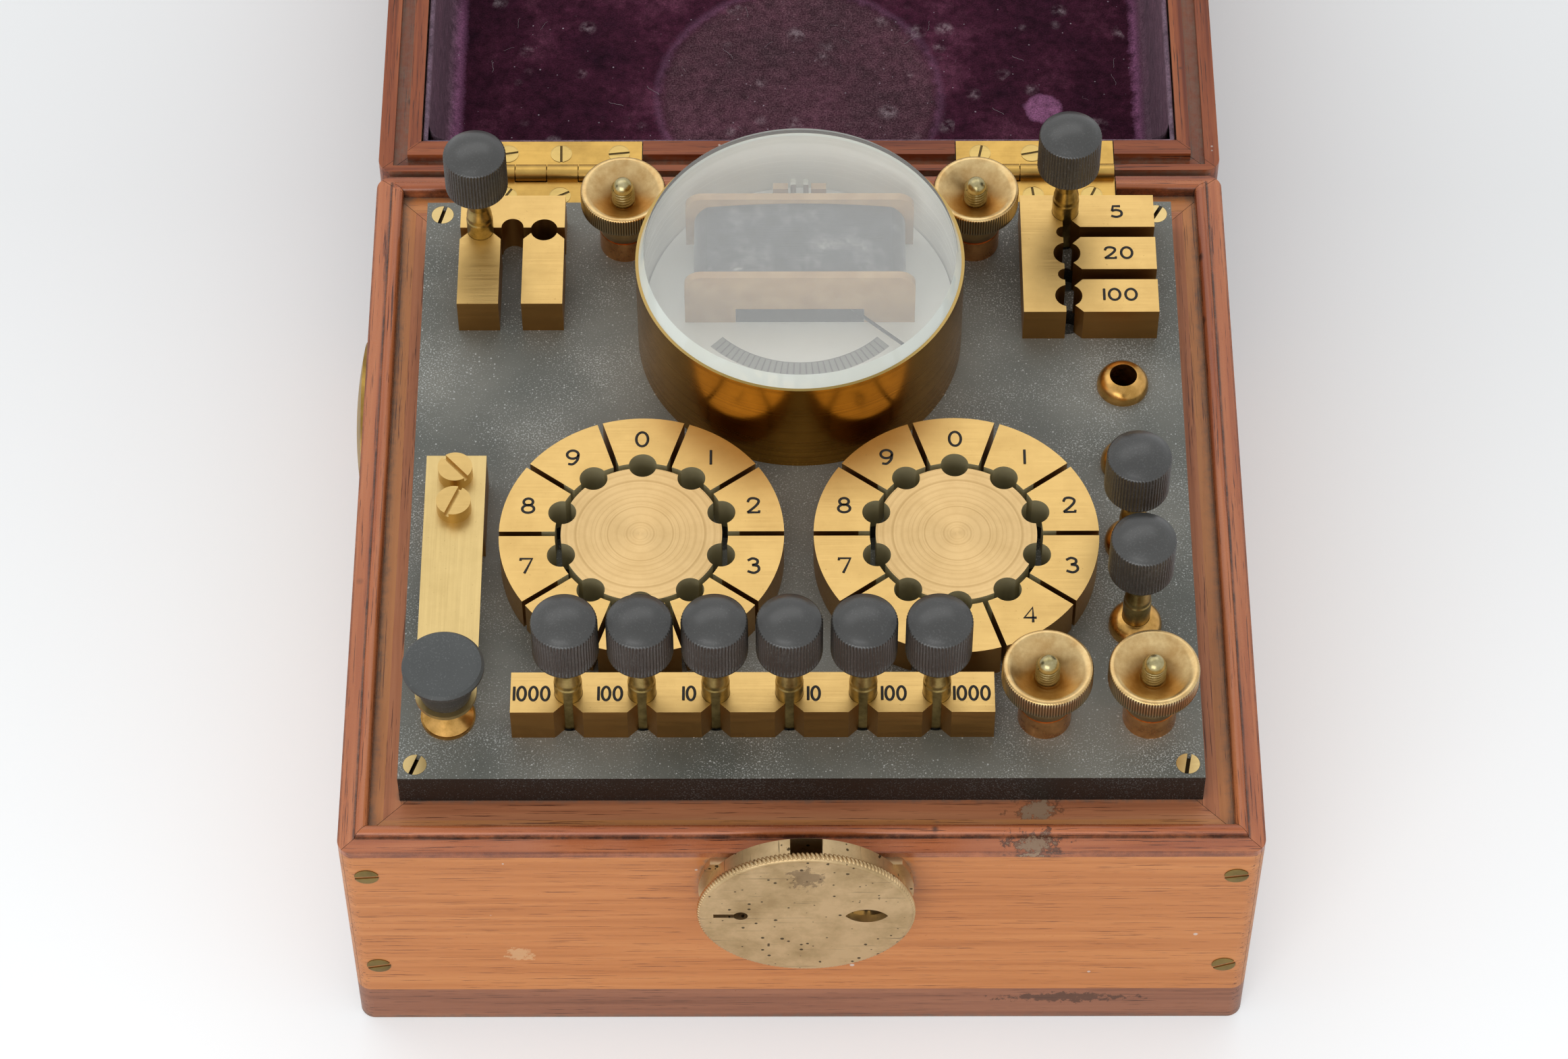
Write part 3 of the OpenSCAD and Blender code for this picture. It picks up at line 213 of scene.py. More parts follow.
def polishedMahogany(
    name, tones, centreY, dustColour="#75685C", dustReach=3.0, roughness=0.33, coat=0.12, chips=0.0, mitred=True
):
    # mahogany, french polished: fine dark pores along the board, ribbon figure, soft gloss, dust in corners
    material, tree, shader, coords = newMaterial(
        name, Coat_Weight=coat, Coat_Roughness=0.2, Specular_IOR_Level=0.3
    )
    grain = boardGrain(tree, coords, centreY) if mitred else coords
    ribbon = add(tree, "Mapping", {"Vector": grain, "Scale": (9, 330, 330)})  # streaks 3 mm wide, 110 mm long
    streaks = {"Vector": ribbon, "Scale": 1.0, "Detail": 7.0, "Roughness": 0.62, "Distortion": 0.5}
    figure = add(tree, "TexNoise", streaks)
    colour = add(tree, "ValToRGB", {0: figure}, stops=[(0.3, tones[0]), (0.5, tones[1]), (0.7, tones[2])])
    feed(shader, {"Base Color": colour})
    fine = add(tree, "Mapping", {"Vector": grain, "Scale": (48, 2600, 2600)})  # pores 0.4 mm wide
    pores = add(tree, "TexNoise", {"Vector": fine, "Scale": 1.0, "Detail": 3.0, "Roughness": 0.7})
    poreShare = add(tree, "MapRange", {"Value": pores, "From Min": 0.6, "From Max": 0.63, "To Max": 0.9})
    tint(shader, poreShare, tones[3])
    # grey dust and old wax gather where boards meet
    corner = add(tree, "AmbientOcclusion", {"Distance": dustReach * mm}, samples=6)
    patches = add(tree, "TexNoise", {"Vector": coords, "Scale": 420.0, "Detail": 5.0, "Roughness": 0.7})
    openness = add(tree, "Math", {0: corner.outputs["AO"], 1: 0.3}, operation="ADD")
    ragged = add(tree, "Math", {0: openness, 1: patches}, operation="SUBTRACT")
    dust = {"Value": ragged, "From Min": 0.2, "From Max": 0.56, "To Min": 0.8, "To Max": 0.0}
    tint(shader, add(tree, "MapRange", dust), dustColour)
    tint(shader, speckMask(tree, coords, 170.0, chips, 0.42, 0.12, 0.8), "#3A2A24")  # dark chips up to 5 mm
    tint(shader, speckMask(tree, coords, 260.0, 0.035, 0.16, 0.04, 0.75), "#D8CFC6")  # pale flecks up to 1 mm
    surface(shader, patches, (roughness - 0.06, roughness + 0.1), pores, 0.05, 0.35, (0.3, 0.7), sunk=True)
    return material


mahoganyFront = ["#BA723C", "#CC8249", "#D89055", "#6E3A1E"]
mahoganyRed = ["#984C2C", "#BC6C40", "#CE8052", "#4A1E10"]
mahoganyLedge = ["#9E5E3E", "#C07850", "#D08C60", "#5E3220"]
mahoganyBottom = ["#80503A", "#9A644A", "#AA7254", "#44281C"]
mahoganyLid = ["#6C2E16", "#934A26", "#AE6236", "#3C180A"]
caseWood = polishedMahogany("frenchPolishedMahogany", mahoganyFront, 0.0)
rimWood = polishedMahogany(
    "glossPolishedBead", mahoganyRed, 0.0, dustReach=1.1, roughness=0.24, coat=0.4, chips=0.06
)
bottomWood = polishedMahogany("darkBottomBoard", mahoganyBottom, 0.0, mitred=False)
ledgeWood = polishedMahogany("satinLedge", mahoganyLedge, 0.0, roughness=0.45, coat=0.05, dustReach=1.8)
lidWood = polishedMahogany("lidMahogany", mahoganyLid, lidMiddleY, "#8E7C6C", chips=0.12)
lidTopWood = polishedMahogany("lidTopBoard", mahoganyLid, lidMiddleY, mitred=False)


def worn(material, place, reach, colour, strength, stretch=(1, 1, 1)):
    # a rubbed or chipped place with a frayed edge, its place and reach in mm
    tree, shader, coords = inside(material)
    fray = add(tree, "TexNoise", {"Vector": coords, "Scale": 420.0, "Detail": 6.0, "Roughness": 0.8})
    moved = add(tree, "VectorMath", {0: coords, 1: tuple(value * mm for value in place)}, operation="SUBTRACT")
    scaled = add(tree, "VectorMath", {0: moved, 1: stretch}, operation="MULTIPLY")
    away = add(tree, "VectorMath", {0: scaled}, operation="LENGTH")
    edge = add(tree, "MapRange", {"Value": fray, "From Min": 0.3, "From Max": 0.7, "To Max": 1.8 * reach * mm})
    inward = add(tree, "Math", {0: edge, 1: away.outputs["Value"]}, operation="SUBTRACT")
    share = add(tree, "MapRange", {"Value": inward, "From Max": 0.15 * reach * mm, "To Max": strength})
    tint(shader, share, colour)


def grimeLines(material, low, high, offsets, half, colour, strength):
    # dark lines along the sides of a rectangle, at the given distances inside it, in mm
    tree, shader, coords = inside(material)
    centre = tuple((a + b) / 2 * mm for a, b in zip(low, high))
    moved = add(tree, "VectorMath", {0: coords, 1: (*centre, 0)}, operation="SUBTRACT")
    sizes = add(tree, "VectorMath", {0: moved}, operation="ABSOLUTE")
    reach = tuple((b - a) / 2 * mm for a, b in zip(low, high))
    past = add(tree, "VectorMath", {0: sizes, 1: (*reach, 0)}, operation="SUBTRACT")
    axes = add(tree, "SeparateXYZ", {0: past})
    inward = add(tree, "Math", {0: axes, 1: axes.outputs[1]}, operation="MAXIMUM")
    lines = [between(tree, inward, (-d - half) * mm, (-d + half) * mm, 0.15 * mm) for d in offsets]
    mask = add(tree, "Math", {0: lines[0], 1: lines[-1]}, operation="MAXIMUM")
    patches = add(tree, "TexNoise", {"Vector": coords, "Scale": 160.0, "Detail": 6.0, "Roughness": 0.75})
    gaps = {"Value": patches, "From Min": 0.35, "From Max": 0.6, "To Min": 0.3 * strength, "To Max": strength}
    share = add(tree, "Math", {0: mask, 1: add(tree, "MapRange", gaps)}, operation="MULTIPLY")
    tint(shader, share, colour)


bead = {"low": (-97.9, -91.0), "high": (97.9, 93.0), "wide": 2.9}  # the raised bead's outer edge in mm
rimOuter = (halfWidth / mm, halfDepth / mm)
grimeLines(rimWood, bead["low"], bead["high"], (-0.1, bead["wide"] + 0.1), 0.35, "#35201A", 0.85)
grimeLines(rimWood, [-side for side in rimOuter], rimOuter, (0.0,), 0.4, "#54281C", 0.6)
wearMarks = [
    (rimWood, (50.5, -93, 72), 3.6, "#4A2E20", 0.8, (0.5, 1, 1)),
    (rimWood, (50.5, -93, 72), 2.6, "#A08468", 0.8, (0.6, 1, 1)),
    (ledgeWood, (52, -83, 71), 3.3, "#5A3A28", 0.6, (0.6, 1, 1)),
    (ledgeWood, (52, -83, 71), 2.6, "#A88C70", 0.8, (0.7, 1, 1)),
    (caseWood, (-63.5, -95, 29), 3.0, "#E2B98A", 0.55),
    (bottomWood, (60, -95, 9), 3.4, "#3C2A20", 0.7, (0.22, 1, 1.6)),
]
for mark in wearMarks:
    worn(*mark)
dress(caseWood, "case_walls")
dress(rimWood, "case_rim")
dress(bottomWood, "case_bottom")
dress(ledgeWood, "panel_ledge")
dress(lidWood, "lid_walls")
dress(lidTopWood, "lid_top")
print("wood done")


# Ebonite

def dustyEbonite(name, fresh, bleached, side, specks=1.0, roughness=0.5, shine=0.45):
    # hard rubber, bleached grey green on top by light, brown black where cut, with years of white dust
    material, tree, shader, coords = newMaterial(name, Specular_IOR_Level=shine)
    up = facingUp(tree)
    cloud = add(tree, "TexNoise", {"Vector": coords, "Scale": 26.0, "Detail": 4.0, "Roughness": 0.55})
    feed(shader, {"Base Color": add(tree, "ValToRGB", {0: cloud}, stops=[(0.35, fresh), (0.65, bleached)])})
    wall = {"Value": up, "From Min": 0.2, "From Max": 0.8, "To Min": 1.0, "To Max": 0.0}
    tint(shader, add(tree, "MapRange", wall), side)
    drift = add(tree, "TexNoise", {"Vector": coords, "Scale": 48.0, "Detail": 5.0, "Roughness": 0.65})
    # dust grains are drawn 0.4 mm wide, and crumbs up to 0.5 mm, because finer ones don't show
    grit = add(tree, "TexNoise", {"Vector": coords, "Scale": 2600.0, "Detail": 2.0, "Roughness": 0.6})
    thick = {"Value": drift, "From Min": 0.35, "From Max": 0.65, "To Min": 0.64, "To Max": 0.53}
    over = add(tree, "Math", {0: grit, 1: add(tree, "MapRange", thick)}, operation="SUBTRACT")
    gritMask = add(tree, "MapRange", {"Value": over, "From Max": 0.07, "To Max": 0.75})
    crumbs = speckMask(tree, coords, 1100.0, 0.5, 0.27, 0.06, 0.9)
    dust = add(tree, "Math", {0: gritMask, 1: crumbs}, operation="MAXIMUM")
    lying = {"Value": up, "From Min": 0.2, "From Max": 0.8, "To Min": 0.12, "To Max": specks}
    tint(shader, add(tree, "Math", {0: dust, 1: add(tree, "MapRange", lying)}, operation="MULTIPLY"), "#C4C6C2")
    surface(shader, drift, (roughness - 0.1, roughness + 0.15), dust, 0.08, 0.5 * specks)
    return material


panelEbonite = dustyEbonite("bleachedEbonite", "#5C5E57", "#807F76", "#221B16", roughness=0.46)
paintedLightPool = {"centre": (-5, 18), "near": 15, "far": 85, "share": 0.16}  # in mm: a painted pool of light, the panel painted paler round this point where the lamp falls most
panelTree, panelShader, panelCoords = inside(panelEbonite)
litPlace = (paintedLightPool["centre"][0] * mm, paintedLightPool["centre"][1] * mm, panelTop)
fromLit = add(panelTree, "VectorMath", {0: panelCoords, 1: litPlace}, operation="DISTANCE").outputs["Value"]
lightPoolShare = add(
    panelTree, "MapRange",
    {"Value": fromLit, "From Min": paintedLightPool["near"] * mm, "From Max": paintedLightPool["far"] * mm, "To Min": paintedLightPool["share"],
     "To Max": 0.0}
)
# painted light: the paler pool on the panel
tint(panelShader, lightPoolShare, "#C4C3BA")
buttonEbonite = dustyEbonite("buttonEbonite", "#4A4C4B", "#585A59", "#37332E", specks=0.1)
dress(panelEbonite, "panel")
dress(buttonEbonite, "key_button")
print("ebonite done")


# Brass

def brushedBrass(name, colour, deep, along="x", roughness=0.34, tarnish=0.25):
    # cast brass, filed and brushed one way, then lacquered: satin shine with fine parallel lines
    material, tree, shader, coords = newMaterial(name, Base_Color=linear(colour), Metallic=1.0)
    # brush lines 0.24 mm apart and 17 mm long, and 0.4 mm on an upright plate: real ones are too fine to show
    scale = {"x": (60, 4200, 900), "y": (4200, 60, 900), "z": (2600, 2600, 50)}[along]
    lines = add(tree, "Mapping", {"Vector": coords, "Scale": scale})
    brush = add(tree, "TexNoise", {"Vector": lines, "Scale": 1.0, "Detail": 3.0, "Roughness": 0.6})
    cloud = add(tree, "TexNoise", {"Vector": coords, "Scale": 130.0, "Detail": 5.0, "Roughness": 0.6})
    specks = add(tree, "TexNoise", {"Vector": coords, "Scale": 1500.0, "Detail": 2.0, "Roughness": 0.5})
    brown = add(tree, "MapRange", {"Value": cloud, "From Min": 0.4, "From Max": 0.75, "To Max": tarnish})
    spots = add(tree, "MapRange", {"Value": specks, "From Min": 0.7, "From Max": 0.78, "To Max": 0.5})
    tint(shader, brown, deep)
    tint(shader, spots, deep)
    surface(shader, brush, (roughness - 0.06, roughness + 0.08), brush, 0.02, 0.35, (0.3, 0.7))
    return material


def fanShine(shader, fromX, axes, centreY):
    # a turned face shines in two fans, because its grooves run round the axis; gives the distance from it
    tree = shader.id_data
    back = add(tree, "Math", {0: centreY, 1: axes.outputs[1]}, operation="SUBTRACT")
    grooves = add(tree, "CombineXYZ", {0: back, 1: fromX})
    feed(shader, {"Tangent": grooves})
    return add(tree, "VectorMath", {0: grooves}, operation="LENGTH").outputs["Value"]


def turnedBrass(name, colour, deep, centre, twinLine=None, roughness=0.3, ringScale=3600.0, relief=0.4):
    # brass turned on a lathe: fine rings round the axis at centre, or round two axes beside a middle line
    # a ring scale of 3600 draws rings 0.3 mm apart, and 1400 draws them 0.7 mm apart
    material, tree, shader, coords = newMaterial(
        name, Base_Color=linear(colour), Metallic=1.0, Anisotropic=0.6
    )
    axes = add(tree, "SeparateXYZ", {0: coords})
    x = axes
    if twinLine is not None:
        beside = add(tree, "Math", {0: axes, 1: twinLine}, operation="SUBTRACT")
        x = add(tree, "Math", {0: beside}, operation="ABSOLUTE")
    fromX = add(tree, "Math", {0: x, 1: centre[0]}, operation="SUBTRACT")
    radius = fanShine(shader, fromX, axes, centre[1])
    rings = add(tree, "CombineXYZ", {0: radius, 1: axes.outputs[2]})
    scaled = add(tree, "Mapping", {"Vector": rings, "Scale": (ringScale, ringScale, 1)})
    turning = add(tree, "TexNoise", {"Vector": scaled, "Scale": 1.0, "Detail": 2.0, "Roughness": 0.6})
    cloud = add(tree, "TexNoise", {"Vector": coords, "Scale": 170.0, "Detail": 5.0, "Roughness": 0.65})
    brown = add(tree, "MapRange", {"Value": cloud, "From Min": 0.4, "From Max": 0.75, "To Max": 0.3})
    grooved = add(tree, "MapRange", {"Value": turning, "From Min": 0.5, "From Max": 0.66, "To Max": 0.4})
    tint(shader, brown, deep)
    tint(shader, grooved, deep)
    surface(shader, turning, (roughness - 0.06, roughness + 0.08), turning, 0.02, relief, (0.3, 0.7))
    return material


def heightBand(material, low, high, colour, levelOnly=False):
    # what lies between two heights gets its own tone, or only its level faces
    tree, shader, coords = inside(material)
    mask = between(tree, add(tree, "SeparateXYZ", {0: coords}).outputs[2], low, high, 0.05 * mm)
    if levelOnly:
        level = between(tree, facingUp(tree), 0.5, 1.5, 0.1)
        mask = add(tree, "Math", {0: mask, 1: level}, operation="MULTIPLY")
    tint(shader, mask, colour)


def uprightFaces(tree):
    # one on walls, nought on level faces
    return between(tree, facingUp(tree), -0.6, 0.6, 0.05)


def uprightTone(material, colour, share):
    # painted shade: upright faces are painted browner and darker than the polished tops, standing in for the dark
    # panel they reflect
    tree, shader, coords = inside(material)
    tint(shader, add(tree, "Math", {0: uprightFaces(tree), 1: share}, operation="MULTIPLY"), colour)


def ringBand(material, centre, inner, outer, colour, metallic, twinX=None):
    # upright walls between two radii about centre, and about its twin, get their own colour and a less metallic
    # surface
    tree, shader, coords = inside(material)
    flat = add(tree, "VectorMath", {0: coords, 1: (1, 1, 0)}, operation="MULTIPLY")
    bands = []
    for x in (centre[0], centre[0] if twinX is None else twinX):
        far = add(tree, "VectorMath", {0: flat, 1: (x, centre[1], 0)}, operation="DISTANCE")
        bands.append(between(tree, far.outputs["Value"], inner, outer, 0.05 * mm))
    inBand = add(tree, "Math", {0: bands[0], 1: bands[1]}, operation="MAXIMUM")
    mask = add(tree, "Math", {0: inBand, 1: uprightFaces(tree)}, operation="MULTIPLY")
    tint(shader, mask, colour)
    feed(shader, {"Metallic": add(tree, "MapRange", {"Value": mask, "To Min": 1.0, "To Max": metallic})})


blockBrass = brushedBrass("brushedBlockBrass", "#E4BE78", "#A87E42", roughness=0.38)
strapBrass = brushedBrass("springBrass", "#D8BC80", "#A88C54", "y", roughness=0.36)
hingeBrass = brushedBrass("hingeBrass", "#D8AE5E", "#94723A", tarnish=0.5)
screwBrass = brushedBrass("screwBrass", "#D2B070", "#8C7038", roughness=0.32)
oldScrewBrass = brushedBrass("tarnishedScrewBrass", "#9C8650", "#5E5030", roughness=0.4, tarnish=0.8)
sideBrass = brushedBrass("sidePlateBrass", "#B9964E", "#6E5526", "z", roughness=0.4, tarnish=0.7)
hubBrass = turnedBrass(
    "turnedHubBrass", "#DDBB84", "#B49058", ((dialX[1] - dialX[0]) / 2, dialY), (dialX[0] + dialX[1]) / 2,
    roughness=0.36, ringScale=1400.0
)
drumBrass = turnedBrass("lacqueredDrumBrass", "#C8923A", "#7E5418", glassMiddle, roughness=0.22, relief=0.08)
drumLow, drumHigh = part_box("galvo_drum")
drum = {"wall": 0.4 * mm, "lip": 3 * mm}  # white inside its wall, duller on top of the lip
ringBand(drumBrass, glassMiddle, 0, (drumHigh.x - drumLow.x) / 2 - drum["wall"], "#F0EFE6", 0.05)
heightBand(drumBrass, drumHigh.z - drum["lip"], drumHigh.z + 1 * mm, "#AE9258", levelOnly=True)
dialBrass = brushedBrass("dialSegmentBrass", "#E4BE78", "#A87E42", roughness=0.38)
# painted shade on the upright faces of the blocks and of the dial segments
uprightTone(blockBrass, "#9A6224", 0.75)
uprightTone(dialBrass, "#9A6224", 0.6)
paintedLightHoleWalls = {"inner": 14 * mm, "outer": 22.2 * mm}  # radii between which hole and slit walls are painted pale and less metallic: painted light, as little light reaches into the holes
# painted light on the walls inside the plug holes and slits
for finish in (dialBrass, hubBrass):
    ringBand(finish, (dialX[0], dialY), paintedLightHoleWalls["inner"], paintedLightHoleWalls["outer"], "#CFC49C", 0.5, dialX[1])
panelScrewBrass = brushedBrass("countersunkScrewBrass", "#DCC084", "#A08850", roughness=0.32)
heightBand(panelScrewBrass, panelTop - 9 * mm, panelTop - 0.35 * mm, "#2C2214")  # painted shade in the slots
boltBrass = brushedBrass("boltBrass", "#E6D6A0", "#B8A468", roughness=0.32)
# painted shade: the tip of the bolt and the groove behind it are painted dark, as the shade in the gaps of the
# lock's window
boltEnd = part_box("lock_bolt")[1].x
boltTree, boltShader, boltCoords = inside(boltBrass)
boltAxes = add(boltTree, "SeparateXYZ", {0: boltCoords})
boltTip = add(boltTree, "Math", {0: boltAxes, 1: boltEnd - 1.6 * mm}, operation="GREATER_THAN")
boltGap = between(boltTree, boltAxes, boltEnd - 2.9 * mm, boltEnd - 2.1 * mm, 0.1 * mm)
tint(boltShader, add(boltTree, "Math", {0: boltTip, 1: boltGap}, operation="MAXIMUM"), "#241C12")
dress(dialBrass, "dial_segments")
dress(blockBrass, "ratio_blocks", "shunt_blocks", "link_blocks", "key_block")
dress(strapBrass, "key_strap")
dress(hingeBrass, "hinge_base_leaves", "hinge_lid_leaves")
dress(panelScrewBrass, "panel_screws")
dress(boltBrass, "lock_bolt")
dress(screwBrass, "key_screws")
dress(sideBrass, "side_plate")
dress(hubBrass, "dial_hubs")
dress(drumBrass, "galvo_drum")
print("brass done")


def twoToneBrass(name, lower, upper, height, soft, roughness=0.28):
    # one turned piece in two finishes that meet at a height, each with a light and a dark tone
    material, tree, shader, coords = newMaterial(name, Metallic=1.0)
    cloud = add(tree, "TexNoise", {"Vector": coords, "Scale": 260.0, "Detail": 5.0, "Roughness": 0.65})
    below, above = (
        add(tree, "ValToRGB", {0: cloud}, stops=[(0.38, dark), (0.62, light)]) for light, dark in (lower, upper)
    )
    feed(shader, {"Base Color": below})
    upright = add(tree, "SeparateXYZ", {0: coords}).outputs[2]
    share = add(tree, "MapRange", {"Value": upright, "From Min": height - soft, "From Max": height + soft})
    tint(shader, share, above)
    surface(shader, cloud, (roughness - 0.08, roughness + 0.1))
    return material


copper, gold = ("#F0B070", "#D09058"), ("#E8B468", "#C0924C")
paleBrass, olive = ("#CFC296", "#A89A6A"), ("#BCA468", "#8E7A46")
postBronze = twoToneBrass("lacqueredPostBronze", copper, paleBrass, panelTop + 10 * mm, 1 * mm)
bunBrass = twoToneBrass("lacqueredBunBrass", gold, gold, panelTop, 1 * mm)
dress(postBronze, "terminal_posts")
dress(bunBrass, "socket_ferrules", "key_anvil")
for number in range(1, 11):
    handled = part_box(f"plug_head_{number}")[0].z - 4.6 * mm  # fingers dull the pin only near its head
    dress(twoToneBrass(f"handledPinBrass{number}", olive, gold, handled, 0.5 * mm, 0.32), f"plug_pin_{number}")


def knurledBronze(name, at, low, tall, radius, depth):
    # bronze nut: turned dish and rim, and a knurled edge that holds dark olive grime in its grooves
    material, tree, shader, coords = newMaterial(name, Metallic=1.0, Anisotropic=0.7)
    axes = add(tree, "SeparateXYZ", {0: coords})
    fromX = add(tree, "Math", {0: axes, 1: at.x}, operation="SUBTRACT")
    fromAxis = fanShine(shader, fromX, axes, at.y)
    cloud = add(tree, "TexNoise", {"Vector": coords, "Scale": 240.0, "Detail": 5.0, "Roughness": 0.65})
    tone = add(tree, "ValToRGB", {0: cloud}, stops=[(0.35, "#D4AC70"), (0.65, "#F4D498")])
    feed(shader, {"Base Color": tone})
    # painted shade: the dish is painted darker towards the stud, at the bottom of its hollow
    dish = {"Value": fromAxis, "From Min": 2.5 * mm, "From Max": 7.5 * mm, "To Min": 0.75, "To Max": 0.0}
    tint(shader, add(tree, "MapRange", dish), "#AC7E48")
    edge = between(tree, axes.outputs[2], low + 8.3 * mm, low + tall - 0.45 * mm, 0.15 * mm)
    outside = add(tree, "Math", {0: fromAxis, 1: radius - 1.2 * mm}, operation="GREATER_THAN")
    onKnurl = add(tree, "Math", {0: edge, 1: outside}, operation="MULTIPLY")
    fromGroove = {"Value": fromAxis, "From Min": radius - depth, "From Max": radius - 0.1 * depth}
    ridge = add(tree, "MapRange", fromGroove)
    tint(shader, onKnurl, add(tree, "ValToRGB", {0: ridge}, stops=[(0.0, "#685A3E"), (1.0, "#E8D2A8")]))
    surface(shader, cloud, (0.24, 0.4))
    return material


def speckledMetal(name, colour, deep, dark, roughness):
    # old brass that has lost its lacquer: brown patches, black spots and fine scratches
    material, tree, shader, coords = newMaterial(name, Metallic=1.0)
    cloud = add(tree, "TexNoise", {"Vector": coords, "Scale": 90.0, "Detail": 6.0, "Roughness": 0.65})
    feed(shader, {"Base Color": add(tree, "ValToRGB", {0: cloud}, stops=[(0.35, deep), (0.6, colour)])})
    spots = speckMask(tree, coords, 700.0, 0.45, 0.34, 0.08, 0.9)
    # slanting scratches, drawn 0.4 mm wide so that they show
    lines = add(tree, "Mapping", {"Vector": coords, "Rotation": (0.4, 0.9, 0.3), "Scale": (60, 60, 2600)})
    scratch = add(tree, "TexNoise", {"Vector": lines, "Scale": 1.0, "Detail": 2.0})
    scratches = add(tree, "MapRange", {"Value": scratch, "From Min": 0.66, "From Max": 0.72, "To Max": 0.6})
    marked = add(tree, "Math", {0: spots, 1: scratches}, operation="MAXIMUM")
    tint(shader, marked, dark)
    surface(shader, cloud, (roughness + 0.12, roughness - 0.06), marked, 0.03, 0.3, (0.3, 0.7), sunk=True)
    return material


def plainFinish(name, light, dark, scale, roughness, relief=0.0, **values):
    # a finish with two close tones that drift into each other
    material, tree, shader, coords = newMaterial(name, **values)
    noise = add(tree, "TexNoise", {"Vector": coords, "Scale": scale, "Detail": 4.0, "Roughness": 0.6})
    feed(shader, {"Base Color": add(tree, "ValToRGB", {0: noise}, stops=[(0.35, dark), (0.65, light)])})
    surface(shader, noise, (roughness - 0.08, roughness + 0.08), noise if relief else None, relief)
    return material


# contact silver shines white, blued steel nearly black, fibre and reel wood are matt, the wax filling is black
lockBrass = speckledMetal("patinatedLockBrass", "#DEC092", "#BCA074", "#3A2E1C", 0.4)
silver = plainFinish("contactSilver", "#C9C6BE", "#A9A69C", 400.0, 0.25, Metallic=1.0)
bluedSteel = plainFinish("bluedSteel", "#3A3E48", "#24262E", 300.0, 0.3, Metallic=1.0)
boxwood = plainFinish("fibreCheek", "#C29E6E", "#AE8654", 160.0, 0.55, relief=0.04)
reelWood = plainFinish("reelWood", "#8A6A42", "#6E5232", 200.0, 0.6)
numberWax = plainFinish("blackWaxFilling", "#1C1712", "#120E0A", 800.0, 0.6)
lockMark = {"above": 15.8, "reach": 4.4}  # in mm: a brown stain near the top of the cover
coverMiddle = middle("lock_cover") / mm
worn(lockBrass, coverMiddle + Vector((0, 0, lockMark["above"])), lockMark["reach"], "#6A5440", 0.55)
dress(lockBrass, "lock_case", "lock_cover", "lid_catch")
dress(silver, "key_contact")
dress(bluedSteel, "galvo_needle")
dress(boxwood, "galvo_frame")
dress(reelWood, "coil_bobbins")
print("small finishes done")


# Silk winding: wire covered in dark silk, matt across its fine turns and grey with dust in patches of 9 mm

silk, silkTree, silkShader, silkCoords = newMaterial("greySilkWinding", Sheen_Weight=0.4, Sheen_Roughness=0.5)
silkTurns = add(silkTree, "Mapping", {"Vector": silkCoords, "Scale": (90, 3600, 3600)})  # wire 0.25 mm
silkNoise = add(silkTree, "TexNoise", {"Vector": silkTurns, "Scale": 1.0, "Detail": 2.0})
silkCloud = add(silkTree, "TexNoise", {"Vector": silkCoords, "Scale": 110.0, "Detail": 8.0, "Roughness": 0.72})
silkTone = add(
    silkTree, "ValToRGB", {0: silkCloud},
    stops=[(0.38, "#1E2027"), (0.5, "#383B44"), (0.6, "#6A6A6E"), (0.7, "#A8A4A2")]
)
feed(silkShader, {"Base Color": silkTone})
silkShade = {"Value": silkNoise, "From Min": 0.35, "From Max": 0.65, "To Min": 0.66, "To Max": 1.05}
silkLine = add(silkTree, "MapRange", silkShade)
silkGrey = add(silkTree, "CombineColor", {0: silkLine, 1: silkLine, 2: silkLine})
tint(silkShader, 1.0, silkGrey, "MULTIPLY")
surface(silkShader, silkCloud, (0.5, 0.8), silkNoise, 0.1, 0.6)
dress(silk, "galvo_winding")


# White card with the printed scale

card, cardTree, cardShader, cardCoords = newMaterial("whiteDialCard")
printedScale = {
    "pivotY": 50.9 * mm, "inner": 25.35 * mm, "outer": 29.1 * mm, "circle": (25.2 * mm, 25.45 * mm),
    "reach": math.radians(45), "halfTick": math.radians(1.5)
}
fromPivot = add(cardTree, "VectorMath", {0: cardCoords, 1: (0, printedScale["pivotY"], 0)}, operation="SUBTRACT")
flattened = add(cardTree, "VectorMath", {0: fromPivot, 1: (1, 1, 0)}, operation="MULTIPLY")
cardRadius = add(cardTree, "VectorMath", {0: flattened}, operation="LENGTH").outputs["Value"]
cardAxes = add(cardTree, "SeparateXYZ", {0: fromPivot})
ahead = add(cardTree, "Math", {0: cardAxes.outputs[1], 1: -1.0}, operation="MULTIPLY")
cardAngle = add(cardTree, "Math", {0: cardAxes, 1: ahead}, operation="ARCTAN2")
scaleBand = between(cardTree, cardRadius, printedScale["inner"], printedScale["outer"], 0.1 * mm)
scaleTurn = between(cardTree, cardAngle, -printedScale["reach"], printedScale["reach"], 0.004)
scaleMask = add(cardTree, "Math", {0: scaleBand, 1: scaleTurn}, operation="MULTIPLY")
tickWave = add(cardTree, "Math", {0: cardAngle, 1: printedScale["halfTick"]}, operation="PINGPONG")
tickLine = {"Value": tickWave, "From Min": 0.004, "From Max": 0.008, "To Min": 1.0, "To Max": 0.75}
tickShare = add(cardTree, "Math", {0: scaleMask, 1: add(cardTree, "MapRange", tickLine)}, operation="MULTIPLY")
circleLine = between(cardTree, cardRadius, *printedScale["circle"], 0.06 * mm)
circleShare = add(cardTree, "Math", {0: circleLine, 1: scaleTurn}, operation="MULTIPLY")
inked = add(cardTree, "Math", {0: tickShare, 1: circleShare}, operation="MAXIMUM")
inkShare = add(cardTree, "Math", {0: inked, 1: 0.95}, operation="MULTIPLY")
foxing = add(cardTree, "TexNoise", {"Vector": cardCoords, "Scale": 60.0, "Detail": 6.0, "Roughness": 0.6})
paper = add(cardTree, "ValToRGB", {0: foxing}, stops=[(0.3, "#F0F1EC"), (0.6, "#FCFCF8")])
feed(cardShader, {"Base Color": paper})
tint(cardShader, inkShare, "#3A3A38")
surface(cardShader, foxing, (0.6, 0.8))
dress(card, "galvo_dial")
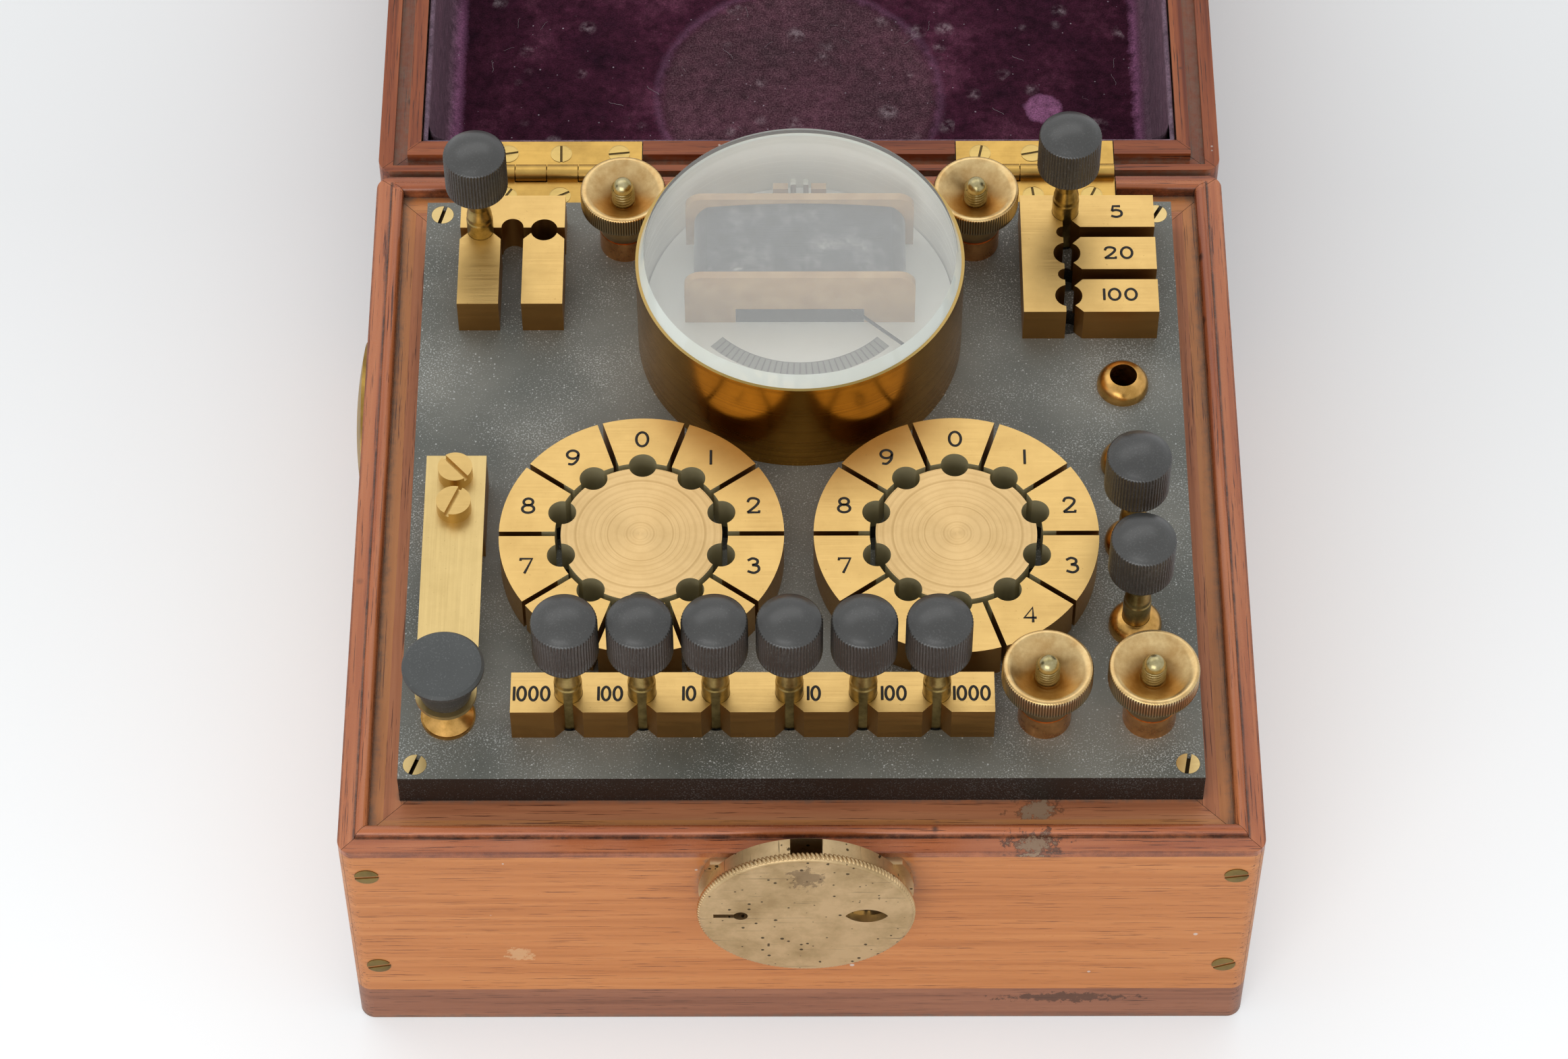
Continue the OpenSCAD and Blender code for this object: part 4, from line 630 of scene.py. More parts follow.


# Bevelled cover glass: light goes straight through it to the card, and it reflects as glass does; a small matt,
# near white share on its faces is partly dust and partly painted reflection

glass, glassTree, glassShader, glassCoords = newMaterial("bevelledGlass", IOR=1.5)
bevelMask = between(glassTree, facingUp(glassTree), -0.6, 0.8, 0.05)  # the bevel is drawn mostly matt and pale green: the glass's own green tint, painted bright as a painted reflection
# the share that isn't clear is a matt veil: dust and painted reflection of the bright room
clearShare = add(glassTree, "MapRange", {"Value": bevelMask, "To Min": 0.86, "To Max": 0.1})
feed(glassShader, {"Transmission Weight": clearShare})
smear = add(glassTree, "TexNoise", {"Vector": glassCoords, "Scale": 70.0, "Detail": 5.0, "Roughness": 0.6})
veilDustAndReflection = add(glassTree, "ValToRGB", {0: smear}, stops=[(0.3, "#FBFBF7"), (0.7, "#FFFFFC")])
feed(glassShader, {"Base Color": veilDustAndReflection})
# painted reflection: the bevel's bright pale green
tint(glassShader, bevelMask, "#F2F8F0")
surface(glassShader, smear, (0.0, 0.03), span=(0.5, 0.9))
glassPath = add(glassTree, "LightPath")
letThrough = add(glassTree, "BsdfTransparent", {0: linear("#FFFFFF")})
glassMix = add(glassTree, "MixShader", {0: glassPath.outputs["Is Shadow Ray"], 1: glassShader, 2: letThrough})
feed(glassTree.nodes["Material Output"], {"Surface": glassMix})
dress(glass, "galvo_glass")
print("galvanometer finishes done")


# Shapes that the pieces below share

def smoothed(mesh):
    for polygon in mesh.polygons:
        polygon.use_smooth = True
    return mesh


def meshFrom(name, corners, faces, smooth=True):
    mesh = bpy.data.meshes.new(name)
    mesh.from_pydata(corners, [], faces)
    mesh.validate()
    mesh.update()
    return smoothed(mesh) if smooth else mesh


def meshOf(name, shape):
    # a smooth mesh from a finished bmesh
    mesh = bpy.data.meshes.new(name)
    shape.to_mesh(mesh)
    shape.free()
    return smoothed(mesh)


def turned(name, profile, segments, at, wave=None, closed=True):
    # profile of (radius, height) turned round Z at a place; wave(angle, step) moves a ring's radius
    corners, faces = [], []
    for step, (radius, height) in enumerate(profile):
        for turn in range(segments):
            angle = 2 * math.pi * turn / segments
            r = radius + (wave(turn, step) if wave else 0)
            corners.append((at[0] + r * math.cos(angle), at[1] + r * math.sin(angle), at[2] + height))
    for step in range(len(profile) - 1):
        for turn in range(segments):
            a, b = step * segments + turn, step * segments + (turn + 1) % segments
            faces.append((a, b, b + segments, a + segments))
    if closed:
        last = (len(profile) - 1) * segments
        faces += [tuple(reversed(range(segments))), tuple(range(last, last + segments))]
    return meshFrom(name, corners, faces)


# Fluted plug heads

headEbonite = dustyEbonite(
    "flutedHeadEbonite", "#2E2D2A", "#3A3936", "#342F2A", specks=0.06, roughness=0.3, shine=0.95
)
flutedHead = {"flutes": 60, "depth": 0.32 * mm, "edge": 0.5 * mm, "dome": 2.8 * mm, "rings": 5, "steps": 6}
for number in range(1, 11):
    low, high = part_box(f"plug_head_{number}")
    radius = (high.x - low.x) / 2
    dome, edge = flutedHead["dome"], flutedHead["edge"]
    side = high.z - low.z - dome
    profile = [(radius - edge - 0.4 * mm, 0.0), (radius - edge, 0.0), (radius - 0.12 * mm, 0.25 * mm)]
    fluted = range(len(profile), len(profile) + flutedHead["rings"] + 1)
    profile += [(radius, edge + (side - 2 * edge) * i / flutedHead["rings"]) for i in range(len(fluted))]
    profile += [(radius - 0.15 * mm, side - 0.2 * mm), (radius - edge, side)]
    domeRadius = ((radius - edge) ** 2 + dome ** 2) / (2 * dome)
    for i in range(1, 11):
        r = (radius - edge) * (1 - i / 10.3)
        profile.append((r, side + dome - domeRadius + math.sqrt(domeRadius ** 2 - r ** 2)))

    def flute(turn, step):
        if step not in fluted:
            return 0.0
        place = (turn % flutedHead["steps"]) / flutedHead["steps"]
        return -flutedHead["depth"] * (0.5 - 0.5 * math.cos(2 * math.pi * place)) ** 0.7

    name, at = f"flutedPlugHead{number}", ((low.x + high.x) / 2, (low.y + high.y) / 2, low.z)
    head = turned(name, profile, flutedHead["flutes"] * flutedHead["steps"], at, flute)
    headPiece = newPiece(name, head, headEbonite, f"plug_{number}")
    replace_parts(headPiece, f"plug_head_{number}")
print("plug heads done")


# Knurled thumb nuts

knurledNut = {"teeth": 100, "steps": 4, "depth": 0.34 * mm, "bore": 2.42 * mm, "neck": 5.9 * mm, "boss": 8 * mm}
nutDish = {"depth": 4.2 * mm, "lip": 0.3 * mm, "rim": 1.2 * mm}
for number in range(1, 5):
    low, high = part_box(f"terminal_nut_{number}")
    radius = (high.x - low.x) / 2 - 0.01 * mm
    tall = high.z - low.z
    bore, neck, boss = knurledNut["bore"], knurledNut["neck"], knurledNut["boss"]
    dish = tall - nutDish["depth"]
    rimInside = radius - nutDish["rim"]
    bowl = bore + nutDish["lip"]
    profile = [(bore, 0), (neck - 0.4 * mm, 0), (neck, 0.4 * mm), (neck, boss * 0.5), (neck, boss - 0.3 * mm)]
    profile += [(neck + 0.3 * mm, boss), (radius - 0.7 * mm, boss), (radius - 0.25 * mm, boss + 0.25 * mm)]
    knurled = range(len(profile), len(profile) + 5)
    profile += [(radius, boss + 0.6 * mm + (tall - boss - 1.2 * mm) * i / 4) for i in range(5)]
    profile += [(radius - 0.2 * mm, tall - 0.25 * mm), (radius - 0.5 * mm, tall), (rimInside, tall)]
    profile += [
        (bowl + (rimInside - bowl) * t, dish + (tall - dish) * t) for t in (0.85, 0.7, 0.55, 0.4, 0.25, 0.1, 0.0)
    ]
    profile.append((bore, dish))

    def tooth(turn, step):
        if step not in knurled:
            return 0.0
        return (0.0, -0.5, -1.0, -0.5)[turn % knurledNut["steps"]] * knurledNut["depth"]

    name, at = f"knurledNut{number}", ((low.x + high.x) / 2, (low.y + high.y) / 2, low.z)
    segments = knurledNut["teeth"] * knurledNut["steps"]
    nut = turned(name, profile + [profile[0]], segments, at, tooth, closed=False)
    shape = bmesh.new()
    shape.from_mesh(nut)
    bmesh.ops.remove_doubles(shape, verts=shape.verts, dist=0.001 * mm)
    bmesh.ops.recalc_face_normals(shape, faces=shape.faces)
    shape.to_mesh(nut)
    shape.free()
    finish = knurledBronze(
        f"knurledBronze{number}", middle(f"terminal_nut_{number}"), low.z, tall, radius, knurledNut["depth"]
    )
    dress(finish, f"terminal_nut_{number}")
    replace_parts(newPiece(name, nut, finish, f"nut_{number}"), f"terminal_nut_{number}")
print("nuts done")


# Velvet lining, one cloth glued into the lid, its edge turned over to the wood

liningLow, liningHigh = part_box("lid_lining")
lining = {"thickness": 1.2 * mm, "cove": 5.7 * mm, "step": 1.6 * mm, "edge": 0.6 * mm}
innerLow = liningLow + Vector((1, 1, 1)) * lining["thickness"]
innerHigh = liningHigh - Vector((1, 1, 0)) * lining["thickness"]


def trayPoint(x, y, z):
    # a point of the plain tray moved onto the coved one
    cove = lining["cove"]
    core = Vector((
        min(max(x, innerLow.x + cove), innerHigh.x - cove), min(max(y, innerLow.y + cove), innerHigh.y - cove),
        max(z, innerLow.z + cove)
    ))
    away = Vector((x, y, z)) - core
    return core + away.normalized() * cove if away.length > 1e-9 else Vector((x, y, z))


def steps(start, end):
    count = max(2, round((end - start) / lining["step"]))
    return [start + (end - start) * i / count for i in range(count + 1)]


xs, ys = steps(innerLow.x, innerHigh.x), steps(innerLow.y, innerHigh.y)
zs = steps(innerLow.z, innerHigh.z - lining["edge"])
tray = bmesh.new()


def patch(first, second, place):
    grid = [[tray.verts.new(trayPoint(*place(a, b))) for b in second] for a in first]
    for i in range(len(first) - 1):
        for j in range(len(second) - 1):
            tray.faces.new((grid[i][j], grid[i + 1][j], grid[i + 1][j + 1], grid[i][j + 1]))


# the floor, then the front, back, left and right walls
patch(xs, ys, lambda a, b: (a, b, innerLow.z))
patch(zs, xs, lambda a, b: (b, innerLow.y, a))
patch(xs, zs, lambda a, b: (a, innerHigh.y, b))
patch(ys, zs, lambda a, b: (innerLow.x, a, b))
patch(zs, ys, lambda a, b: (innerHigh.x, b, a))
# the edge: a rounded turn outward, then down the outer face
ring = [(x, innerLow.y, 0, -1) for x in xs[:-1]] + [(innerHigh.x, y, 1, 0) for y in ys[:-1]]
ring += [(x, innerHigh.y, 0, 1) for x in reversed(xs[1:])] + [(innerLow.x, y, -1, 0) for y in reversed(ys[1:])]
turn = [(0.0, -lining["edge"]), (0.25, -0.2 * mm), (0.5, 0.0), (0.8, 0.0), (1.0, -0.3 * mm), (1.0, -1.5 * mm)]
count = len(ring)
edgeRows = []
for share, drop in turn:
    row = []
    for i, (x, y, outX, outY) in enumerate(ring):
        before = ring[i - 1]
        out = Vector((outX, outY))
        if (before[2], before[3]) != (outX, outY):
            out = Vector((outX + before[2], outY + before[3]))
        reach = share * (lining["thickness"] - 0.05 * mm)
        row.append(tray.verts.new((x + out.x * reach, y + out.y * reach, innerHigh.z + drop)))
    edgeRows.append(row)
for lower, upper in zip(edgeRows, edgeRows[1:]):
    for i in range(count):
        j = (i + 1) % count
        tray.faces.new((lower[i], lower[j], upper[j], upper[i]))
bmesh.ops.remove_doubles(tray, verts=tray.verts, dist=0.02 * mm)
bmesh.ops.recalc_face_normals(tray, faces=tray.faces)
floorMiddle = Vector((0, (innerLow.y + innerHigh.y) / 2, innerLow.z))
middleFace = min(tray.faces, key=lambda face: (face.calc_center_median() - floorMiddle).length)
if middleFace.normal.z < 0:
    bmesh.ops.reverse_faces(tray, faces=tray.faces)
velvetMesh = meshOf("velvetLining", tray)

velvet, velvetTree, velvetShader, velvetCoords = newMaterial(
    "plumVelvet", Roughness=0.95, Sheen_Weight=0.3, Sheen_Roughness=0.4, Sheen_Tint=linear("#A8909C"),
    Specular_IOR_Level=0.1
)
marks = {  # in mm: the worn ring, the pale spot beside it and a pale band near each side wall
    "ring": {"centre": (0.2, 161.9), "radius": 36.5, "edge": 0.8},
    "spot": {"centre": (63.0, 157.7), "radius": 4.8},
    "bands": [(-89.0, -86.4, 120.0, 196.0), (86.4, 88.2, 120.0, 196.0)],
}
velvetAxes = add(velvetTree, "SeparateXYZ", {0: velvetCoords})
# silk velvet with a short pile: tufts 0.4 mm wide, brushed patches 24 mm wide, frays 2.6 mm wide
pile = add(velvetTree, "TexNoise", {"Vector": velvetCoords, "Scale": 2400.0, "Detail": 3.0, "Roughness": 0.7})
brushed = add(velvetTree, "TexNoise", {"Vector": velvetCoords, "Scale": 42.0, "Detail": 8.0, "Roughness": 0.72})
frayNoise = add(velvetTree, "TexNoise", {"Vector": velvetCoords, "Scale": 380.0, "Detail": 4.0, "Roughness": 0.7})
fray = add(velvetTree, "MapRange", {"Value": frayNoise, "To Min": -1.6 * mm, "To Max": 1.6 * mm})
velvetTone = add(
    velvetTree, "ValToRGB", {0: brushed}, stops=[(0.32, "#2A1220"), (0.52, "#451E30"), (0.72, "#6C3C50")]
)
feed(velvetShader, {"Base Color": velvetTone})


def distanceFrom(centre):
    # how far a point of the cloth is from a mark's middle, with a frayed edge
    place = (centre[0] * mm, centre[1] * mm, 0)
    moved = add(velvetTree, "VectorMath", {0: velvetCoords, 1: place}, operation="SUBTRACT")
    level = add(velvetTree, "VectorMath", {0: moved, 1: (1, 1, 0)}, operation="MULTIPLY")
    length = add(velvetTree, "VectorMath", {0: level}, operation="LENGTH")
    return add(velvetTree, "Math", {0: length.outputs["Value"], 1: fray}, operation="ADD")


fromRing, fromSpot = distanceFrom(marks["ring"]["centre"]), distanceFrom(marks["spot"]["centre"])
ringRadius, ringEdge = marks["ring"]["radius"] * mm, marks["ring"]["edge"] * mm
ringInner = {
    "Value": fromRing, "From Min": ringRadius - 3 * mm, "From Max": ringRadius, "To Min": 1.0, "To Max": 0.0
}
fuzz = {"Value": pile, "From Min": 0.4, "From Max": 0.7, "To Min": 0.15, "To Max": 0.6}
insideShare = add(
    velvetTree, "Math", {0: add(velvetTree, "MapRange", ringInner), 1: add(velvetTree, "MapRange", fuzz)},
    operation="MULTIPLY"
)
tint(velvetShader, insideShare, "#7C6064")
ringLine = between(velvetTree, fromRing, ringRadius - ringEdge, ringRadius + ringEdge, 0.8 * mm)
tint(velvetShader, add(velvetTree, "Math", {0: ringLine, 1: 0.3}, operation="MULTIPLY"), "#8E6480")
spotRadius = marks["spot"]["radius"] * mm
bright = add(
    velvetTree, "MapRange",
    {"Value": fromSpot, "From Min": spotRadius - 0.6 * mm, "From Max": spotRadius + 0.4 * mm, "To Min": 1.0,
     "To Max": 0.0}
)
for left, right, near, far in marks["bands"]:
    wavy = add(velvetTree, "Math", {0: velvetAxes, 1: fray}, operation="ADD")
    across = between(velvetTree, wavy, left * mm, right * mm, 0.9 * mm)
    along = between(velvetTree, velvetAxes.outputs[1], near * mm, far * mm, 9 * mm)
    band = add(velvetTree, "Math", {0: across, 1: along}, operation="MULTIPLY")
    fainter = add(velvetTree, "Math", {0: band, 1: 0.8}, operation="MULTIPLY")
    bright = add(velvetTree, "Math", {0: bright, 1: fainter}, operation="MAXIMUM")
tint(velvetShader, bright, "#966084")
rimTone = {
    "Value": velvetAxes.outputs[2], "From Min": innerHigh.z - 3.2 * mm, "From Max": innerHigh.z - 1.4 * mm,
    "To Max": 0.7
}
tint(velvetShader, add(velvetTree, "MapRange", rimTone), "#84707E")
fuzzPatches = speckMask(velvetTree, velvetCoords, 130.0, 0.7, 0.42, 0.42, 1.1)  # lint rubbed into the pile
patchLint = add(velvetTree, "MapRange", {"Value": frayNoise, "From Min": 0.4, "From Max": 0.66, "To Max": 0.8})
tint(velvetShader, add(velvetTree, "Math", {0: fuzzPatches, 1: patchLint}, operation="MULTIPLY"), "#A4969A")
tint(velvetShader, speckMask(velvetTree, velvetCoords, 900.0, 0.12, 0.24, 0.06, 0.7), "#B9AAB4")
paintedWallLight = between(velvetTree, facingUp(velvetTree), -0.7, 0.7, 0.2)  # painted light: the walls are painted paler, making up for the shade they stand in
tint(velvetShader, add(velvetTree, "Math", {0: paintedWallLight, 1: 0.5}, operation="MULTIPLY"), "#8E7080")
pileTone = {"Value": pile, "From Min": 0.3, "From Max": 0.7, "To Min": 0.55, "To Max": 1.5}
feather = {"Value": frayNoise, "From Min": 0.3, "From Max": 0.7, "To Min": 0.62, "To Max": 1.5}
feathered = add(
    velvetTree, "Math", {0: add(velvetTree, "MapRange", pileTone), 1: add(velvetTree, "MapRange", feather)},
    operation="MULTIPLY"
)
pileGrey = add(velvetTree, "CombineColor", {0: feathered, 1: feathered, 2: feathered})
tint(velvetShader, 1.0, pileGrey, "MULTIPLY")
feed(velvetShader, {
    "Normal": add(velvetTree, "Bump", {"Height": pile, "Distance": 0.35 * mm, "Strength": 0.8})
})
velvetPiece = newPiece("velvetLining", velvetMesh, velvet, "lid")
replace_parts(velvetPiece, "lid_lining")
print("velvet done")


# Plain numbers, engraved and filled, as shallow ridges of black wax

def curved(points, samples=7):
    # a smooth line through the points
    line = []
    for i in range(len(points) - 1):
        p0, p1, p2 = points[max(i - 1, 0)], points[i], points[i + 1]
        p3 = points[min(i + 2, len(points) - 1)]
        for k in range(samples):
            t = k / samples
            line.append(tuple(
                0.5 * (2 * b + (c - a) * t + (2 * a - 5 * b + 4 * c - d) * t ** 2
                       + (3 * b - a - 3 * c + d) * t ** 3)
                for a, b, c, d in zip(p0, p1, p2, p3)
            ))
    return line + [tuple(points[-1])]


def oval(x, y, rx, ry, start=0, end=360):
    turns = [math.radians(start + (end - start) * i / 28) for i in range(29)]
    return [(x + rx * math.cos(t), y + ry * math.sin(t)) for t in turns]


six = [curved([(0.6, 0.95), (0.34, 0.97), (0.1, 0.68), (0.04, 0.32)]), oval(0.36, 0.29, 0.32, 0.29)]
strokes = {
    "0": [oval(0.36, 0.5, 0.33, 0.5)],
    "1": [[(0.0, 1.0), (0.0, 0.0)]],
    "2": [curved([(0.04, 0.74), (0.14, 0.95), (0.38, 1.0), (0.62, 0.88), (0.62, 0.66), (0.4, 0.36), (0.03, 0.0)]),
          [(0.03, 0.0), (0.68, 0.0), (0.68, 0.12)]],
    "3": [curved([(0.06, 0.86), (0.32, 1.0), (0.58, 0.88), (0.56, 0.64), (0.3, 0.54)]),
          curved([(0.3, 0.54), (0.62, 0.46), (0.66, 0.18), (0.4, 0.0), (0.05, 0.12)])],
    "4": [[(0.5, 0.0), (0.5, 1.0), (0.02, 0.3), (0.7, 0.3)]],
    "5": [[(0.6, 1.0), (0.16, 1.0), (0.1, 0.56)],
          curved([(0.1, 0.56), (0.36, 0.64), (0.64, 0.5), (0.64, 0.16), (0.36, 0.0), (0.04, 0.1)])],
    "6": six,
    "7": [[(0.04, 0.88), (0.04, 1.0), (0.68, 1.0), (0.28, 0.0)]],
    "8": [oval(0.36, 0.76, 0.26, 0.24), oval(0.36, 0.27, 0.33, 0.27)],
    "9": [[(0.72 - x, 1 - y) for x, y in line] for line in six],
}
lettering = {"width": 0.43 * mm, "sunk": 0.2 * mm, "space": 0.26}


def writeNumber(text, x, y, z, tall, wide):
    # one curve for a whole number, centred on its place and read from the front; a one is a bare stroke
    widths = [0.0 if digit == "1" else 0.72 for digit in text]
    at = -(sum(widths) + lettering["space"] * (len(text) - 1)) / 2
    for digit, width in zip(text, widths):
        for line in strokes[digit]:
            spline = numberCurve.splines.new("POLY")
            spline.points.add(len(line) - 1)
            for point, (u, v) in zip(spline.points, line):
                point.co = (x + (at + u) * wide / 0.72, y + (v - 0.5) * tall, z - lettering["sunk"], 1)
        at += width + lettering["space"]


numberCurve = bpy.data.curves.new("numberStrokes", "CURVE")
numberCurve.dimensions = "3D"
numberCurve.bevel_depth = lettering["width"]
numberCurve.bevel_resolution = 1
segmentTop, ratioTop, shuntTop = (
    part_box(nodeName)[1].z for nodeName in ("dial_segments", "ratio_blocks", "shunt_blocks")
)
dialNumbers = {"radius": 26.65 * mm, "tall": 3.9 * mm, "wide": 2.9 * mm, "lower": 0.5 * mm}
for centreX in dialX:
    for digit in range(10):
        angle = math.radians(90 - 36 * digit)
        x = centreX + dialNumbers["radius"] * math.cos(angle)
        y = dialY + dialNumbers["radius"] * math.sin(angle) - dialNumbers["lower"]
        writeNumber(str(digit), x, y, segmentTop, dialNumbers["tall"], dialNumbers["wide"])
ratioPlaces = [(-59.0, "1000"), (-41.8, "100"), (-24.5, "10"), (2.8, "10"), (20.3, "100"), (37.4, "1000")]
ratioNumbers = {"y": -64.7 * mm, "tall": 3.5 * mm, "wide": 1.9 * mm}
for x, text in ratioPlaces:
    writeNumber(text, x * mm, ratioNumbers["y"], ratioTop, ratioNumbers["tall"], ratioNumbers["wide"])
shuntNumbers = {"x": 74.5 * mm, "tall": 3.2 * mm, "wide": 2.8 * mm}
for y, text in ((70.1, "5"), (57.8, "20"), (45.5, "100")):
    writeNumber(text, shuntNumbers["x"], y * mm, shuntTop, shuntNumbers["tall"], shuntNumbers["wide"])
numberMaker = newObject("numberMaker", numberCurve)
numberMesh = finishedMesh(numberMaker, "blockNumbers")
bpy.data.objects.remove(numberMaker)
newPiece("blockNumbers", numberMesh, numberWax, "case")
print("numbers done")


# Repeats with Geometry Nodes: copies of one small shape on marked points

def repeat(name, source, points, material, body, sizes=(1.0, 1.0), seed=1):
    # points are (place, turn) pairs; each copy has its own turn and a random size between the two sizes
    carrier = bpy.data.meshes.new(name + "Points")
    carrier.from_pydata([place for place, _ in points], [], [])
    turns = carrier.attributes.new("turn", "FLOAT_VECTOR", "POINT")
    for item, (_, angles) in zip(turns.data, points):
        item.vector = angles
    holder, sample = newObject(name + "Holder", carrier), newObject(name + "Sample", source)
    tree = bpy.data.node_groups.new(name + "Repeat", "GeometryNodeTree")
    face = tree.interface
    entries = {
        "Points": "Geometry", "Shape": "Object", "Smallest": "Float", "Largest": "Float", "Seed": "Int",
        "Finish": "Material"
    }
    for label, kind in entries.items():
        face.new_socket(label, in_out="INPUT", socket_type="NodeSocket" + kind)
    face.new_socket("Pieces", in_out="OUTPUT", socket_type="NodeSocketGeometry")
    inputs = add(tree, "NodeGroupInput").outputs
    shape = add(tree, "GeometryNodeObjectInfo", {"Object": inputs["Shape"]})
    angle = add(tree, "GeometryNodeInputNamedAttribute", {"Name": "turn"}, data_type="FLOAT_VECTOR")
    size = add(
        tree, "FunctionNodeRandomValue", {2: inputs["Smallest"], 3: inputs["Largest"], 8: inputs["Seed"]},
        data_type="FLOAT"
    )
    placed = add(
        tree, "GeometryNodeInstanceOnPoints",
        {"Points": inputs["Points"], "Instance": shape.outputs["Geometry"],
         "Rotation": angle.outputs["Attribute"], "Scale": size.outputs[1]}
    )
    real = add(tree, "GeometryNodeRealizeInstances", {"Geometry": placed})
    finished = add(tree, "GeometryNodeSetMaterial", {"Geometry": real, "Material": inputs["Finish"]})
    add(tree, "NodeGroupOutput", {"Pieces": finished})
    modifier = holder.modifiers.new("repeat", "NODES")
    modifier.node_group = tree
    values = {"Shape": sample, "Smallest": sizes[0], "Largest": sizes[1], "Seed": seed, "Finish": material}
    for item in face.items_tree:
        if item.in_out == "INPUT" and item.name in values:
            modifier[item.identifier] = values[item.name]
    made = finishedMesh(holder, name)
    for thing in (holder, sample):
        bpy.data.objects.remove(thing)
    return newPiece(name, made, material, body)


def slottedHead(name, radius, height, slot, slotDepth, dome=0.25):
    # a low domed screw head with a straight slot, lying on Z = 0; dome is a share of its height
    corners, faces = [], []
    half = slot / 2
    count = 14
    reach = math.sqrt(radius ** 2 - half ** 2)
    for side in (1, -1):
        start = len(corners)
        arc = math.asin(half / radius)
        outline = [arc + (math.pi - 2 * arc) * i / count for i in range(count + 1)]
        rim = [(radius * math.cos(a), side * radius * math.sin(a)) for a in outline]
        corners += [(x, y, z) for z in (0.0, height * 0.75) for x, y in rim]
        corners += [(x * 0.9, half * side + (y - half * side) * 0.88, height) for x, y in rim]
        crown = len(corners)
        corners.append((0, side * radius * 0.35, height + dome * height))
        flank = len(corners)
        corners.append((reach * 0.9, side * half, height - slotDepth))
        corners.append((-reach * 0.9, side * half, height - slotDepth))
        n = count + 1
        for i in range(count):
            for level in (0, 1):
                a = start + level * n + i
                faces.append((a, a + 1, a + 1 + n, a + n) if side > 0 else (a, a + n, a + 1 + n, a + 1))
            a = start + 2 * n + i
            faces.append((a, a + 1, crown) if side > 0 else (a + 1, a, crown))
        first, last = start + 2 * n, start + 3 * n - 1
        faces.append((first, crown, last) if side > 0 else (last, crown, first))
        faces.append((first, last, flank + 1, flank) if side > 0 else (last, first, flank, flank + 1))
    floor = len(corners)
    turns = [2 * math.pi * i / 24 for i in range(24)]
    corners += [(radius * 0.97 * math.cos(a), radius * 0.97 * math.sin(a), height - slotDepth) for a in turns]
    faces.append(tuple(range(floor, floor + len(turns))))
    return meshFrom(name, corners, faces, smooth=False)


leafFace = 72.65 * mm
hingeScrewSizes = {"radius": 2.6 * mm, "height": 0.22 * mm, "slot": 0.6 * mm, "slotDepth": 0.14 * mm}
hingeScrewShape = slottedHead("hingeScrewShape", **hingeScrewSizes)
hingeScrewBrass = brushedBrass("hingeScrewBrass", "#D8B870", "#A08448", roughness=0.32)
heightBand(hingeScrewBrass, leafFace - 1 * mm, leafFace + 0.07 * mm, "#33261A")  # painted shade in the slots and at the foot of each head
hingeScrewPlaces = {"xs": (-70.4, -57.5, -43.5, 43.8, 56.3, 70.35), "case": 89.3, "lid": 102.3}  # in mm
random.seed(7)
for body, name in (("case", "caseHingeScrews"), ("lid", "lidHingeScrews")):
    places = [
        ((x * mm, hingeScrewPlaces[body] * mm, leafFace - 0.05 * mm), (0, 0, random.uniform(0, math.pi)))
        for x in hingeScrewPlaces["xs"]
    ]
    repeat(name, hingeScrewShape, places, hingeScrewBrass, body)
frontScrewSizes = {"radius": 2.7 * mm, "height": 0.35 * mm, "slot": 0.8 * mm, "slotDepth": 0.34 * mm}
frontScrewShape = slottedHead("frontScrewShape", **frontScrewSizes)
upright = Matrix.Rotation(math.radians(90), 3, "X")
frontScrewPlaces = ((-95.7, 24.1, 0.25), (-95.7, 63.1, 0.1), (95.7, 24.1, 0.45), (95.7, 63.1, 0.2))  # x, z, slot
frontPlaces = [
    ((x * mm, -halfDepth + 0.05 * mm, z * mm), tuple((upright @ Matrix.Rotation(slot, 3, "Z")).to_euler()))
    for x, z, slot in frontScrewPlaces
]
repeat("caseFrontScrews", frontScrewShape, frontPlaces, oldScrewBrass, "case")
print("screws done")


# Rope bead round the lock's cover

coverLow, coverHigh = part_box("lock_cover")
rope = {"strands": 150, "radius": (coverHigh.x - coverLow.x) / 2 - 0.25 * mm, "lean": math.radians(32)}
strand = {"half": Vector((0.46, 1.05, 0.6)) * mm, "around": 10, "along": 8}


def egg(name, half, around, along):
    # rings of points between two poles, half as long each way as half says
    corners, faces = [(0, 0, half.z), (0, 0, -half.z)], []
    turns = [2 * math.pi * i / around for i in range(around)]
    for ring in range(1, along):
        tilt = math.pi * ring / along
        out, z = math.sin(tilt), half.z * math.cos(tilt)
        corners += [(half.x * out * math.sin(turn), half.y * out * math.cos(turn), z) for turn in turns]
    first, last = 2, 2 + (along - 2) * around
    for i in range(around):
        j = (i + 1) % around
        faces += [(0, first + j, first + i), (1, last + i, last + j)]
        for a in range(first, last, around):
            faces.append((a + i, a + j, a + around + j, a + around + i))
    return meshFrom(name, corners, faces)


strandMesh = egg("ropeStrand", **strand)
ropeCentre = Vector(((coverLow.x + coverHigh.x) / 2, coverLow.y + 1.15 * mm, (coverLow.z + coverHigh.z) / 2))
ropePlaces = []
for i in range(rope["strands"]):
    angle = 2 * math.pi * i / rope["strands"]
    out = Vector((math.cos(angle), 0, math.sin(angle)))
    # the strand's length crosses the edge at a lean, and its flat side lies on it
    along = Matrix.Rotation(rope["lean"], 3, out) @ Vector((0, 1, 0))
    facing = Matrix((along.cross(out), along, out)).transposed()
    ropePlaces.append((ropeCentre + out * rope["radius"], tuple(facing.to_euler())))
repeat("lockRopeBead", strandMesh, ropePlaces, lockBrass, "case")


# Threads on the studs, where they show in the dish of each nut

